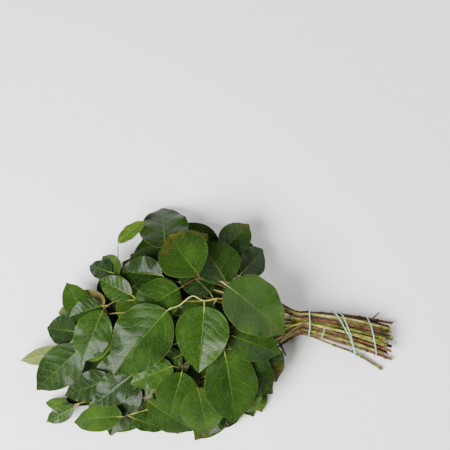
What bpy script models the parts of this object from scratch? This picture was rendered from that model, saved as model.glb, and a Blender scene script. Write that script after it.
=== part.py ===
"""A florist's bunch of salal branches, tied with string and lying on its side.

The branches are laid down one after another. Each stem, and then each of its leaves, comes to
rest on the heap of those below it, so no branch cuts through another. The lower branches follow
a rule with seeded draws, and the upper ones have places of their own. +X runs to the cut ends,
+Z is up, and the origin is on the table under the middle of the bunch. Units are metres.
"""

import math
import random
from dataclasses import dataclass

import bmesh
import bpy
import numpy as np
from mathutils import Matrix, Vector, geometry

MM = 0.001
SEED = 13
# The middle of the laid bunch, which becomes the origin
ORIGIN = (-1.4 * MM, 6.6 * MM, 0.0)

# The bundle of bare stems, from its neck in the head past the first tie to the cut ends
TIE_X = 120 * MM
CUT_X = 226 * MM
CUT_RAGGED = 20 * MM
BUNDLE_Y = 5 * MM
BUNDLE_SIDE_DRIFT = -23 * MM
BUNDLE_PITCH = 4.7 * MM
CUT_PITCH = 7.2 * MM
NECK_X = 106 * MM
NECK_PITCH = 5.0 * MM
BUNDLE_RISE = 0.075
STEM_GAP = 0.5 * MM
STEM_RADIUS = 2.0 * MM
TWIG_RADIUS = 1.1 * MM
STEM_BEND = 90 * MM
# The outermost stem in front springs out of the bundle past the middle tie
SPRUNG_SLOT = -2.85
SPRUNG_END = ((211 * MM, -50 * MM), (179 * MM, -31 * MM), (150 * MM, -20 * MM))

# The leafy head: a low crown that falls off to its margin
CROWN_HEIGHT = 78 * MM
MARGIN_HEIGHT = 22 * MM
CROWN_X = -25 * MM
CROWN_LONG = 115 * MM
CROWN_NEAR = 78 * MM
CROWN_WIDE = 92 * MM
HEAD_X = 88 * MM
NECK_HALF_WIDTH = 60 * MM
LEAFY_SHARE = 0.85

# A leaf
LEAF_THICKNESS = 0.8 * MM
PETIOLE = 7 * MM
PETIOLE_HALF_WIDTH = 1.1 * MM
TIP_TAPER = 0.85
BLADE_STATIONS = (0.0, 0.1, 0.32, 0.58, 0.82)

# The heap that the branches are laid on
CELL = 1.5 * MM
GAP = 1.1 * MM
HEAP_HALF_X = 270 * MM
HEAP_HALF_Y = 210 * MM

# The string
STRING_RADIUS = 0.6 * MM
STRING_CLEARANCE = 1.0 * MM
TIE_POINTS = 30
TIE_REACH = 38 * MM
# Each tie's loops: where along X each stands, and how it slants across the bundle
TIES = {
    "tie_head": ((TIE_X, 0.0),),
    "tie_middle": ((157.5 * MM, -0.56), (163 * MM, -0.38)),
    "tie_end": ((193.5 * MM, -0.22),),
}

# Where every stem has a ring of corners, and the most that two rings stand apart
BUNDLE_RINGS = (0.197, 0.160, 0.120, 0.098)
MOST_BETWEEN_RINGS = 40 * MM

LEAF_GREEN = (0.045, 0.13, 0.03, 1.0)
STRING_TEAL = (0.45, 0.75, 0.66, 1.0)

# The lower branches, from the table up: level in the crown, how many, their share of the reach,
# and how far along X their leaves may lie on the neck of bare stems before the tie
TIERS = ((0.02, 7, 1.0, 5 * MM), (0.24, 6, 0.97, 5 * MM), (0.46, 5, 0.9, 20 * MM))
FAN_DEGREES = (-46, 46)
DEGREES_PER_PITCH = 14
# The share of its heading that a lower branch has where it leaves the neck
FAN_START = 0.5
# How far the head reaches from the first tie, by the direction in degrees from -X towards +Y
REACH_ANGLES = (-70, -50, -35, -20, 0, 15, 26, 39, 59, 75)
REACHES = (85, 165, 215, 295, 330, 270, 215, 200, 125, 85)
# How far the tips of the lower leaves may reach the same way, and by how much a leaf may shorten
MARGIN_ANGLES = (-76, -68, -60, -52, -48, -40, -24, -8, 0, 10, 20, 36, 44, 56, 75)
MARGINS = (85, 100, 130, 158, 190, 216, 310, 340, 300, 285, 245, 215, 165, 140, 95)
MOST_SHORTENING = 0.42
# Two leaves that hide the table below the front ones, by branch, as in the rows further down
NECK_LEAVES = {10: (46, -3, 178, 64, 48), 11: (40, 16, 150, 64, 46)}

# The upper branches, from the lowest to the topmost. Each has its level in the crown, its place
# across the bundle in stem pitches, its plan beyond the tie, and its leaves: place of the blade's
# base in plan, heading in degrees from +X towards +Y, length and width, all in millimetres, and
# for a leaf that has turned over the word "turned".
UPPER_BRANCHES = (
    (0.34, -1.2, ((52, -14), (-25, -45), (-100, -78), (-156, -92)),
     ((-130, -76, 150, 42, 24), (-168, -95, 171, 36, 16), (-162, -97, -152, 40, 20))),
    (0.56, -1.8, ((61, -25), (-5, -65), (-59, -94), (-97, -106)),
     ((-92, -109, -21, 48, 22), (-103, -108, -179, 72, 36))),
    (0.70, 1.8, ((64, 29), (7, 60), (-30, 68), (-50, 76)),
     ((-54, 67, 154, 52, 38), (-52, 91, 96, 84, 60), (-42, 74, 41, 58, 50))),
    (0.60, 2.7, ((79, 29), (52, 46), (31, 59), (10, 82)),
     ((39, 63, 45, 46, 36), (16, 88, 50, 50, 38))),
    (0.74, 1.4, ((55, 26), (-5, 44), (-53, 52), (-92, 52), (-106, 62), (-110, 90)),
     ((-55, 57, 171, 56, 40), (-109, 55, 126, 42, 32), (-116, 62, 159, 40, 24), (-110, 100, 42, 44, 18))),
    (0.74, 0.0, ((49, 2), (-35, 9), (-107, 14), (-140, 6), (-163, -20)),
     ((-126, 22, 147, 44, 24, "turned"), (-172, -30, -169, 60, 22, "turned"), (-155, 12, 172, 38, 20),
      (-158, -8, 170, 46, 36), (-150, 10, 115, 52, 33))),
    (0.72, -0.5, ((49, -6), (-35, -8), (-100, -4), (-146, -22)),
     ((-151, -27, -141, 86, 48),)),
    (0.66, -0.9, ((49, -7), (-23, -19), (-76, -38), (-105, -58)),
     ((-83, -40, -154, 70, 38), (-114, -65, -165, 72, 36), (-86, -57, -142, 64, 38))),
    (0.62, -2.6, ((64, -27), (10, -38), (-24, -45), (-62, -76), (-76, -86)),
     ((-71, -90, -37, 76, 40), (-31, -36, -155, 48, 31), (-42, -50, -158, 54, 36),
      (-31, -57, -106, 56, 52))),
    (0.66, -2.2, ((67, -29), (19, -46), (-12, -65)),
     ((18, -53, -20, 40, 28), (-13, -75, -76, 68, 52))),
    (0.50, -1.4, ((85, -17), (62, -24), (44, -38), (36, -62)),
     ((40, -71, -59, 44, 32), (62, -24, -62, 58, 38))),
    (0.80, 0.4, ((55, 14), (10, 26), (-30, 26), (-71, 29), (-97, 29), (-109, 30), (-122, 22)),
     ((2, 36, 135, 54, 38), (-91, 34, 156, 46, 30), (-128, 23, -162, 42, 28), (-126, 17, -112, 68, 44))),
    (0.80, -0.8, ((73, -11), (37, -11), (14, -20)),
     ((28, -33, -43, 80, 45), (18, -31, -78, 92, 66), (26, -14, -20, 64, 44))),
    (0.88, 1.1, ((67, 25), (37, 36), (17, 44), (-11, 53), (-30, 44)),
     ((22, 46, 119, 66, 60), (-12, 56, 128, 68, 62), (-35, 41, -151, 70, 52))),
    (0.92, 0.6, ((67, 17), (19, 29), (-5, 26), (-19, 31), (-34, 20), (-43, 17)),
     ((6, 22, -113, 64, 48), (-5, 19, -94, 78, 62), (-48, 14, -133, 100, 74))),
    (0.92, 1.8, ((75, 25), (50, 37), (28, 46), (13, 49)),
     ((21, 44, -37, 92, 70),)),
)


@dataclass
class Leaf:
    """One leaf. The values with a default are set as it is placed on its stem and on the heap."""

    x: float
    y: float
    heading: float
    length: float
    width: float
    arch: float
    fold: float
    fullness: float
    turned: bool = False
    node: int = 0
    root: tuple = (0.0, 0.0, 0.0)
    z: float = 0.0
    pitch: float = 0.0
    roll: float = 0.0


@dataclass
class Branch:
    """A stem as a line of points with a radius at each, and its leaves."""

    line: np.ndarray
    radius: np.ndarray
    leaves: list


def crown(x, y):
    """Height of the head's upper surface over a place on the table."""
    long = np.where(x > CROWN_X, CROWN_NEAR, CROWN_LONG)
    fall = np.exp(-(((x - CROWN_X) / long) ** 2) - (y / CROWN_WIDE) ** 2)
    return MARGIN_HEIGHT + (CROWN_HEIGHT - MARGIN_HEIGHT) * fall


def curve_through(points, step):
    """Points about one step apart along a smooth curve through the given ones."""
    knots = [points[0], *points, points[-1]]
    line = []
    for a, b, c, d in zip(knots, knots[1:], knots[2:], knots[3:]):
        count = max(2, round(math.dist(b, c) / step))
        for i in range(count):
            t = i / count
            weights = (-t + 2 * t**2 - t**3, 2 - 5 * t**2 + 3 * t**3, t + 4 * t**2 - 3 * t**3, t**3 - t**2)
            line.append([sum(w * v for w, v in zip(weights, near)) / 2 for near in zip(a, b, c, d)])
    line.append(list(points[-1]))
    return np.array(line)


def outline(s, fullness):
    """Half width of a blade at the share s of its length, as a share of its greatest."""
    widest = fullness / (fullness + TIP_TAPER)
    greatest = widest**fullness * (1 - widest) ** TIP_TAPER
    return s**fullness * (1 - s) ** TIP_TAPER / greatest


def blade(leaf, s, t, half=None):
    """Points of a blade's upper face: s runs from base to tip, and t from edge to edge."""
    if half is None:
        half = leaf.width / 2 * outline(s, leaf.fullness)
    across = t * half
    bend = leaf.arch * s
    along = leaf.length * np.sin(bend) / leaf.arch
    drop = leaf.length * (1 - np.cos(bend)) / leaf.arch
    cupped = leaf.fold * np.abs(across) * (1 - 0.6 * np.abs(across) / leaf.width)
    return np.stack([along, across, cupped - drop], axis=-1)


def place(leaf, points, below=0.0):
    """Takes points from a leaf's own frame to the table's, moved below the upper face."""
    c, s = math.cos(leaf.heading), math.sin(leaf.heading)
    level, rise = math.cos(leaf.pitch), math.sin(leaf.pitch)
    forward = np.array([c * level, s * level, rise])
    side = np.array([-s, c, 0.0])
    up = np.cross(forward, side)
    side, up = (
        side * math.cos(leaf.roll) + up * math.sin(leaf.roll),
        up * math.cos(leaf.roll) - side * math.sin(leaf.roll),
    )
    base = np.array([leaf.x, leaf.y, leaf.z])
    return base + points[..., :1] * forward + points[..., 1:2] * side + (points[..., 2:] - below) * up


class Heap:
    """The heights of the stems and of the leaves laid so far, on a grid of square cells."""

    def __init__(self):
        shape = round(2 * HEAP_HALF_X / CELL), round(2 * HEAP_HALF_Y / CELL)
        self.stems, self.leaves = np.zeros(shape), np.zeros(shape)

    def cells(self, points):
        column = ((points[:, 0] + HEAP_HALF_X) / CELL).astype(int)
        row = ((points[:, 1] + HEAP_HALF_Y) / CELL).astype(int)
        return column, row

    def floor_under(self, points, over_stems=True):
        """The lowest that a thing may lie: on the table, or a gap above what is there."""
        cells = self.cells(points)
        top = self.leaves[cells]
        if over_stems:
            top = np.maximum(top, self.stems[cells])
        return np.where(top > 0, top + GAP, 0.0)

    def add(self, points, are_leaves=True):
        column, row = self.cells(points)
        grid = self.leaves if are_leaves else self.stems
        for x in (-1, 0, 1):
            for y in (-1, 0, 1):
                np.maximum.at(grid, (column + x, row + y), points[:, 2])


# Sample points of a blade, close enough together to meet every cell under it
BLADE_S, BLADE_T = (g.ravel() for g in np.meshgrid(np.linspace(0.02, 1, 58), np.linspace(-1, 1, 41)))
STEM_SHARES = np.linspace(-1, 1, 7)


def rest_on_stems(branches, plan, radius):
    """The lowest that a stem may lie at each of its points, above the stems laid so far."""
    low = np.zeros(len(plan))
    for branch in branches:
        apart = plan[:, None, :] - branch.line[None, :, :2]
        clear = radius[:, None] + branch.radius + STEM_GAP
        rise = clear**2 - (apart**2).sum(axis=2)
        rest = np.where(rise > 0, branch.line[:, 2] + np.sqrt(np.maximum(rise, 0)), 0)
        low = np.maximum(low, rest.max(axis=1))
    return low


def lay_stem(heap, branches, plan, level, radius):
    """Rests a stem on what is laid so far along its plan."""
    step = np.gradient(plan, axis=0)
    normal = np.stack([-step[:, 1], step[:, 0]], axis=1) / np.linalg.norm(step, axis=1)[:, None]
    along = np.concatenate([[0], np.cumsum(np.linalg.norm(np.diff(plan, axis=0), axis=1))])
    x, y = plan.T
    low = rest_on_stems(branches, plan, radius)
    for q in STEM_SHARES:
        edge = plan + q * radius[:, None] * normal
        low = np.maximum(low, heap.floor_under(edge, False) + radius * math.sqrt(1 - q * q))
    bundle = STEM_RADIUS + BUNDLE_RISE * (CUT_X - x)
    into_head = np.clip((TIE_X - x) / (TIE_X - HEAD_X), 0, 1)
    aim = bundle * (1 - into_head) + np.maximum(level * crown(x, y), radius) * into_head
    low = np.maximum(low, aim)
    z = (low[None, :] - (along[:, None] - along[None, :]) ** 2 / (2 * STEM_BEND)).max(axis=1)
    line = np.column_stack([x, y, z])
    for q in STEM_SHARES:
        edge = np.column_stack([plan + q * radius[:, None] * normal, z + radius * math.sqrt(1 - q * q)])
        heap.add(edge, False)
    return line


def slope_of_crown(x, y, level, heading):
    """How steeply the crown's layer climbs along a heading, and across it."""
    d = 2 * MM
    east = level * (crown(x + d, y) - crown(x - d, y)) / (2 * d)
    north = level * (crown(x, y + d) - crown(x, y - d)) / (2 * d)
    ahead = east * math.cos(heading) + north * math.sin(heading)
    across = -east * math.sin(heading) + north * math.cos(heading)
    return math.atan(ahead), math.atan(across)


def lay_leaf(heap, leaf, level, draw):
    """Turns and lifts a leaf until it lies clear of the heap and as low on it as it can."""
    middle_x = leaf.x + leaf.length / 2 * math.cos(leaf.heading)
    middle_y = leaf.y + leaf.length / 2 * math.sin(leaf.heading)
    pitch, roll = slope_of_crown(middle_x, middle_y, level, leaf.heading)
    pitch += math.radians(draw.uniform(-8, 6))
    roll += math.radians(draw.uniform(-8, 8)) + (math.pi if leaf.turned else 0)
    start = leaf.root[2] - 1.0 * MM
    points = blade(leaf, BLADE_S, BLADE_T)
    best = None
    for tilt in range(-20, 21, 4):
        for lean in (-15, -10, -5, 0, 5, 10, 15):
            leaf.z, leaf.pitch, leaf.roll = start, pitch + math.radians(tilt), roll + math.radians(lean)
            under = place(leaf, points, LEAF_THICKNESS)
            over = place(leaf, points)
            lift = max(0.0, (heap.floor_under(under) - np.minimum(under, over)[:, 2]).max())
            height = over[:, 2].mean() + 0.3 * over[:, 2].max() + lift
            cost = height + 0.5 * lift + abs(tilt) * 0.06 * MM + abs(lean) * 0.06 * MM
            if best is None or cost < best[0]:
                best = (cost, start + lift, leaf.pitch, leaf.roll)
    _, leaf.z, leaf.pitch, leaf.roll = best
    settle(heap, leaf, points)


def lay_flat(heap, leaf):
    """Presses a leaf flat on the bare table. Says whether the table is bare there."""
    kept = leaf.arch, leaf.fold
    leaf.arch, leaf.fold = 1e-6, 0.0
    leaf.z, leaf.pitch, leaf.roll = LEAF_THICKNESS, 0.0, 0.0
    points = blade(leaf, BLADE_S, BLADE_T)
    if (heap.floor_under(place(leaf, points)) > 0).any():
        leaf.arch, leaf.fold = kept
        return False
    settle(heap, leaf, points)
    return True


def settle(heap, leaf, points):
    """Adds a leaf that has come to rest to the heap, with its petiole."""
    over, under = place(leaf, points), place(leaf, points, LEAF_THICKNESS)
    heap.add(np.maximum(over, under))
    share = np.linspace(0, 1, 9)[:, None]
    petiole = np.array(leaf.root) * (1 - share) + np.array([leaf.x, leaf.y, leaf.z]) * share
    heap.add(petiole + np.array([0, 0, PETIOLE_HALF_WIDTH]))


def bundle_plan(draw, slot):
    """Plan of a bare stem from its cut end past the first tie to the neck of the bundle."""
    cut_slot = slot + draw.uniform(-0.5, 0.5)
    cut_x = CUT_X - draw.uniform(0, CUT_RAGGED)
    points = []
    for x in (cut_x, 0.5 * (cut_x + TIE_X), TIE_X):
        beyond = (x - TIE_X) / (CUT_X - TIE_X)
        across = (1 - beyond) * slot * BUNDLE_PITCH + beyond * cut_slot * CUT_PITCH
        points.append((x, BUNDLE_Y + BUNDLE_SIDE_DRIFT * beyond**1.3 + across))
    if slot < SPRUNG_SLOT:
        points[:2] = SPRUNG_END
    points.append((NECK_X, BUNDLE_Y + slot * NECK_PITCH))
    return points


def random_leaf(draw, x, y, heading, length, width):
    return Leaf(
        x, y, heading, length, width,
        arch=draw.uniform(0.12, 0.4),
        fold=draw.uniform(0.08, 0.28),
        fullness=draw.uniform(0.5, 0.72),
    )


def clear_of_neck(leaf, neck):
    """Whether a leaf keeps away from the bare stems just beyond the tie."""
    for share in (0.1, 0.45, 1.0):
        x = leaf.x + share * leaf.length * math.cos(leaf.heading)
        y = leaf.y + share * leaf.length * math.sin(leaf.heading)
        if x > neck and abs(y - BUNDLE_Y) < NECK_HALF_WIDTH:
            return False
    return True


def keep_within_margin(leaf):
    """Shortens a leaf whose tip would stand out past the head's margin."""
    tip_x = leaf.x + leaf.length * math.cos(leaf.heading) - TIE_X
    tip_y = leaf.y + leaf.length * math.sin(leaf.heading) - BUNDLE_Y
    margin = np.interp(math.degrees(math.atan2(tip_y, -tip_x)), MARGIN_ANGLES, MARGINS) * MM
    past = max(math.hypot(tip_x, tip_y) - margin, 0.0)
    share = 1 - min(past / leaf.length, MOST_SHORTENING)
    leaf.length *= share
    leaf.width *= share


def nearest(line, x, y):
    return int(np.argmin(np.hypot(line[:, 0] - x, line[:, 1] - y)))


def stem_radius(count):
    return np.linspace(STEM_RADIUS, TWIG_RADIUS, count)


def lay_lower_branch(heap, branches, draw, level, angle, share, neck):
    """One branch of the lower tiers: leaves alternate along the far half of its stem."""
    reach = share * MM * np.interp(math.degrees(angle), REACH_ANGLES, REACHES)
    last_length = draw.uniform(60, 76) * MM
    tip = max(reach - last_length, 45 * MM)
    bow = draw.uniform(-0.10, 0.10)
    plan = bundle_plan(draw, math.degrees(angle) / DEGREES_PER_PITCH)
    centre_y = plan[-2][1]
    for share_along in (0.35, 0.7, 1.0):
        turn = angle * (FAN_START + (1 - FAN_START) * share_along) + bow * share_along
        plan.append((
            TIE_X - tip * share_along * math.cos(turn),
            centre_y * (1 - share_along) + tip * share_along * math.sin(turn),
        ))
    plan = curve_through(plan, CELL)
    radius = stem_radius(len(plan))
    line = lay_stem(heap, branches, plan, level, radius)
    along = np.concatenate([[0], np.cumsum(np.linalg.norm(np.diff(plan, axis=0), axis=1))])
    from_tip, side, leaves = 0.0, draw.choice((-1, 1)), []
    while from_tip < LEAFY_SHARE * tip:
        here = min(int(np.searchsorted(along, along[-1] - from_tip)), len(line) - 1)
        before = line[max(here - 6, 0)]
        ahead = math.atan2(line[here, 1] - before[1], line[here, 0] - before[0])
        turn = draw.uniform(-0.25, 0.25) if not leaves else side * math.radians(draw.uniform(48, 74))
        length = last_length if not leaves else draw.uniform(60, 84) * MM
        petiole = ahead + 0.7 * turn
        leaf = random_leaf(
            draw,
            line[here, 0] + PETIOLE * math.cos(petiole),
            line[here, 1] + PETIOLE * math.sin(petiole),
            ahead + turn, length, length * draw.uniform(0.6, 0.74),
        )
        leaf.node, leaf.root = here, tuple(line[here])
        keep_within_margin(leaf)
        if clear_of_neck(leaf, neck):
            leaves.append(leaf)
        from_tip += draw.uniform(23, 30) * MM
        side = -side
    for leaf in leaves:
        if level > TIERS[0][0] or not lay_flat(heap, leaf):
            lay_leaf(heap, leaf, level, draw)
    return Branch(line, radius, leaves)


def lay_placed_leaf(heap, line, draw, level, x, y, heading, length, width, *turned):
    """Lays a leaf that has a place of its own, in millimetres and degrees, and joins it to its stem."""
    heading = math.radians(heading)
    leaf = random_leaf(draw, x * MM, y * MM, heading, length * MM, width * MM)
    leaf.turned = bool(turned)
    back = nearest(line, leaf.x - PETIOLE * math.cos(heading), leaf.y - PETIOLE * math.sin(heading))
    leaf.node, leaf.root = back, tuple(line[back])
    lay_leaf(heap, leaf, level, draw)
    return leaf


def lay_upper_branch(heap, branches, draw, level, slot, beyond_tie, leaf_rows):
    """One of the branches whose leaves have places of their own."""
    plan = bundle_plan(draw, slot) + [(x * MM, y * MM) for x, y in beyond_tie]
    plan = curve_through(plan, CELL)
    radius = stem_radius(len(plan))
    line = lay_stem(heap, branches, plan, level, radius)
    return Branch(line, radius, [lay_placed_leaf(heap, line, draw, level, *row) for row in leaf_rows])


def lay_bunch():
    """Lays every branch, from the table up."""
    heap, draw, branches = Heap(), random.Random(SEED), []
    for level, count, share, neck in TIERS:
        for i in range(count):
            where = (i + 0.5 + draw.uniform(-0.2, 0.2)) / count
            angle = math.radians(FAN_DEGREES[0] + where * (FAN_DEGREES[1] - FAN_DEGREES[0]))
            branch = lay_lower_branch(heap, branches, draw, level, angle, share, neck)
            branches.append(branch)
            number = len(branches)
            if number in NECK_LEAVES:
                row = NECK_LEAVES[number]
                branch.leaves.append(lay_placed_leaf(heap, branch.line, random.Random(number), level, *row))
    for row in UPPER_BRANCHES:
        branches.append(lay_upper_branch(heap, branches, draw, *row))
    return branches


def material(name, colour, roughness):
    made = bpy.data.materials.new(name)
    made.use_nodes = True
    shader = made.node_tree.nodes["Principled BSDF"]
    shader.inputs["Base Color"].default_value = colour
    shader.inputs["Roughness"].default_value = roughness
    made.diffuse_color = colour
    return made


def loft(name, rings, closed=False, alike=False):
    """A solid through rings of points. A ring of one point is a tip. A leaf's upper and lower
    faces are split alike, so that they can't cross."""
    shape = bmesh.new()
    rows = [[shape.verts.new(np.subtract(point, ORIGIN)) for point in ring] for ring in rings]
    pairs = list(zip(rows, rows[1:]))
    if closed:
        pairs.append((rows[-1], rows[0]))
    for a, b in pairs:
        count = len(a)
        for j in range(count):
            k = (j + 1) % count
            if len(b) == 1:
                shape.faces.new((a[j], a[k], b[0]))
            elif alike and j >= count // 2:
                shape.faces.new((a[j], a[k], b[j]))
                shape.faces.new((a[k], b[k], b[j]))
            else:
                shape.faces.new((a[j], a[k], b[k]))
                shape.faces.new((a[j], b[k], b[j]))
    if not closed:
        shape.faces.new(list(reversed(rows[0])))
        if len(rows[-1]) > 1:
            shape.faces.new(rows[-1])
    bmesh.ops.recalc_face_normals(shape, faces=shape.faces)
    mesh = bpy.data.meshes.new(name)
    shape.to_mesh(mesh)
    shape.free()
    made = bpy.data.objects.new(name, mesh)
    bpy.context.scene.collection.objects.link(made)
    return made


def tube_rings(line, radius, sides):
    """Rings of points round a line, each square to it."""
    tangent = np.gradient(line, axis=0)
    tangent /= np.linalg.norm(tangent, axis=1)[:, None]
    side = np.cross([0.0, 0.0, 1.0], tangent)
    side /= np.linalg.norm(side, axis=1)[:, None]
    up = np.cross(tangent, side)
    turns = np.arange(sides) * 2 * math.pi / sides
    return [
        [p + r * (math.cos(a) * u + math.sin(a) * v) for a in turns]
        for p, r, u, v in zip(line, radius, side, up)
    ]


def stem_stations(branch):
    """Where a stem's rings stand: at the same places in every bundle, and at each leaf."""
    line = branch.line
    picks = {0, len(line) - 1} | {leaf.node for leaf in branch.leaves}
    for x in BUNDLE_RINGS:
        picks.add(int(np.argmin(np.abs(line[:, 0] - x))))
    kept = []
    for pick in sorted(picks):
        while kept and pick - kept[-1] > MOST_BETWEEN_RINGS / CELL:
            gaps = math.ceil((pick - kept[-1]) * CELL / MOST_BETWEEN_RINGS)
            kept.append(kept[-1] + (pick - kept[-1]) // gaps)
        kept.append(pick)
    return kept


def leaf_solid(leaf, name):
    """A leaf with its petiole, from inside the stem to the tip."""
    rings = []
    root = np.array(leaf.root)
    ahead = np.array([math.cos(leaf.heading), math.sin(leaf.heading), 0.0])
    reach = np.array([leaf.x, leaf.y, leaf.z]) - root
    reach = max(reach @ ahead, 0.3 * abs(reach[2]), 1 * MM) * ahead + np.array([0, 0, reach[2]])
    side = np.array([-ahead[1], ahead[0], 0.0]) * 0.7 * PETIOLE_HALF_WIDTH
    if leaf.turned:
        side = -side
    up = np.cross(reach, side)
    up *= LEAF_THICKNESS / np.linalg.norm(up)
    rings.append([root + side + up / 2, root + up / 2, root - side + up / 2,
                  root - side - up / 2, root - up / 2, root + side - up / 2])
    across = np.array([1.0, 0.0, -1.0])
    for s in BLADE_STATIONS:
        half = max(leaf.width / 2 * float(outline(s, leaf.fullness)), PETIOLE_HALF_WIDTH)
        edge = blade(leaf, np.full(3, s), across, half)
        over, under = place(leaf, edge), place(leaf, edge, LEAF_THICKNESS)
        rings.append([*over, *under[::-1]])
    tip = blade(leaf, np.ones(1), np.zeros(1))
    rings.append([place(leaf, tip, LEAF_THICKNESS / 2)[0]])
    return loft(name, rings, alike=True)


def union(solid, pieces):
    """Joins pieces to a solid with one Boolean, and removes them."""
    group = bpy.data.collections.new(solid.name + "_joined")
    bpy.context.scene.collection.children.link(group)
    for piece in pieces:
        bpy.context.scene.collection.objects.unlink(piece)
        group.objects.link(piece)
    cut = solid.modifiers.new("joined", "BOOLEAN")
    cut.operation = "UNION"
    cut.solver = "MANIFOLD"
    cut.operand_type = "COLLECTION"
    cut.collection = group
    bpy.context.view_layer.update()
    graph = bpy.context.evaluated_depsgraph_get()
    joined = bpy.data.meshes.new_from_object(solid.evaluated_get(graph))
    solid.modifiers.clear()
    solid.data = joined
    for piece in pieces:
        bpy.data.objects.remove(piece)
    bpy.data.collections.remove(group)


def finish_at(solid, middle, finish, parent):
    """Gives a solid its material, and its own origin at a point of the bundle."""
    middle = Vector(np.subtract(middle, ORIGIN))
    solid.data.transform(Matrix.Translation(-middle))
    solid.location = middle
    solid.parent = parent
    solid.data.materials.clear()
    solid.data.materials.append(finish)
    solid.data.shade_smooth()
    solid.data.set_sharp_from_angle(angle=math.radians(40))


def branch_solid(branch, name, finish, parent):
    picks = stem_stations(branch)
    stem = loft(name, tube_rings(branch.line[picks], branch.radius[picks], 5))
    union(stem, [leaf_solid(leaf, f"{name}_leaf_{i}") for i, leaf in enumerate(branch.leaves)])
    finish_at(stem, branch.line[nearest(branch.line, TIE_X, BUNDLE_Y)], finish, parent)


def loop_round(branches, x, slant):
    """Centre line of a string pulled tight round the stems, in a plane that slants along X. It
    leaves out a stem that has sprung away from the others."""
    around = []
    for branch in branches:
        line = branch.line
        ahead = line[:, 0] - x - slant * (line[:, 1] - BUNDLE_Y)
        if ahead.max() < 0 or ahead.min() > 0:
            continue
        i = int(np.argmin(np.abs(ahead)))
        if abs(line[i, 1] - BUNDLE_Y) > TIE_REACH:
            continue
        clear = branch.radius[i] + STRING_RADIUS + STRING_CLEARANCE
        step = line[max(i - 1, 0), :2] - line[i + 1, :2]
        wide = clear * np.linalg.norm(step) / abs(step[0] - slant * step[1])
        for a in range(16):
            turn = a * math.pi / 8
            around.append((line[i, 1] + wide * math.cos(turn), line[i, 2] + clear * math.sin(turn)))
    corners = np.array(around)[geometry.convex_hull_2d(around)]
    corners = np.vstack([corners, corners[:1]])
    along = np.concatenate([[0], np.cumsum(np.linalg.norm(np.diff(corners, axis=0), axis=1))])
    spots = np.linspace(0, along[-1], TIE_POINTS, endpoint=False)
    y, z = (np.interp(spots, along, corners[:, i]) for i in (0, 1))
    return np.column_stack([x + slant * (y - BUNDLE_Y), y, z])


def string_solid(name, line):
    """A closed loop of string along a line."""
    ahead = np.roll(line, -1, axis=0) - np.roll(line, 1, axis=0)
    ahead /= np.linalg.norm(ahead, axis=1)[:, None]
    side = np.array([1.0, 0.0, 0.0]) - ahead * ahead[:, :1]
    side /= np.linalg.norm(side, axis=1)[:, None]
    up = np.cross(ahead, side)
    turns = np.arange(5) * 2 * math.pi / 5
    rings = [
        [p + STRING_RADIUS * (math.cos(a) * u + math.sin(a) * v) for a in turns]
        for p, u, v in zip(line, side, up)
    ]
    return loft(name, rings, closed=True)


def main():
    for old in list(bpy.data.objects):
        bpy.data.objects.remove(old)
    bunch = bpy.data.objects.new("bunch", None)
    bpy.context.scene.collection.objects.link(bunch)
    foliage = material("foliage", LEAF_GREEN, 0.4)
    string = material("string", STRING_TEAL, 0.6)
    branches = lay_bunch()
    for number, branch in enumerate(branches, 1):
        branch_solid(branch, f"branch_{number:02d}", foliage, bunch)
    for name, loops in TIES.items():
        lines = [loop_round(branches, x, slant) for x, slant in loops]
        tie, *crossing = [string_solid(f"{name}_{i}", line) for i, line in enumerate(lines)]
        tie.name = name
        if crossing:
            union(tie, crossing)
        finish_at(tie, lines[0].mean(axis=0), string, bunch)


main()
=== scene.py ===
# %% [markdown]
# # A florist's bunch of salal branches
#
# Thirty-four cut branches of salal lie fanned over one another on a table. Their bare stems run
# together into a bundle, which three ties of thin twine hold. The frame gives each branch and each
# tie as a plain solid. This lesson grows a finer branch or tie in the place of each of them.

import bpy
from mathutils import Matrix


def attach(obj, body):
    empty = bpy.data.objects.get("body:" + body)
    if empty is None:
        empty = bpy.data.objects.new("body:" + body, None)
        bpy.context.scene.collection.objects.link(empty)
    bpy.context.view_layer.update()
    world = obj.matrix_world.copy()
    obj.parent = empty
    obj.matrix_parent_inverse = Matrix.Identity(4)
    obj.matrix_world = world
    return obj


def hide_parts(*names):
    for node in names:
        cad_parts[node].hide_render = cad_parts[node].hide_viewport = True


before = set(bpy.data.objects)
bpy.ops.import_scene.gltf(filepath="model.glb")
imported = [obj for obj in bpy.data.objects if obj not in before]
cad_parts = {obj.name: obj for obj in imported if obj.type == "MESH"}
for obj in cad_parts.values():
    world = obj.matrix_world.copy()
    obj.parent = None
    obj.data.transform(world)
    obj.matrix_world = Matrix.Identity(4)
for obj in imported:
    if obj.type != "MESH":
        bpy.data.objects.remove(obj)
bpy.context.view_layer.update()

# %% [markdown]
# ## Sizes of the laid bunch
#
# The fine leaves have to lie where the solid ones lie. A mesh full of triangles doesn't say where
# a leaf begins, so the bunch is laid again here by the same rule and the same seeded draws as the
# solids were. These are that rule's sizes. The frame is in metres, so MM follows each size that is
# given in millimetres.

# %% The sizes
import math
import random
from dataclasses import dataclass

import bmesh
import bpy
import numpy as np
from mathutils import Vector, geometry

MM = 0.001
SEED = 13
# The middle of the laid bunch, which becomes the origin
ORIGIN = (-1.4 * MM, 6.6 * MM, 0.0)

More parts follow.
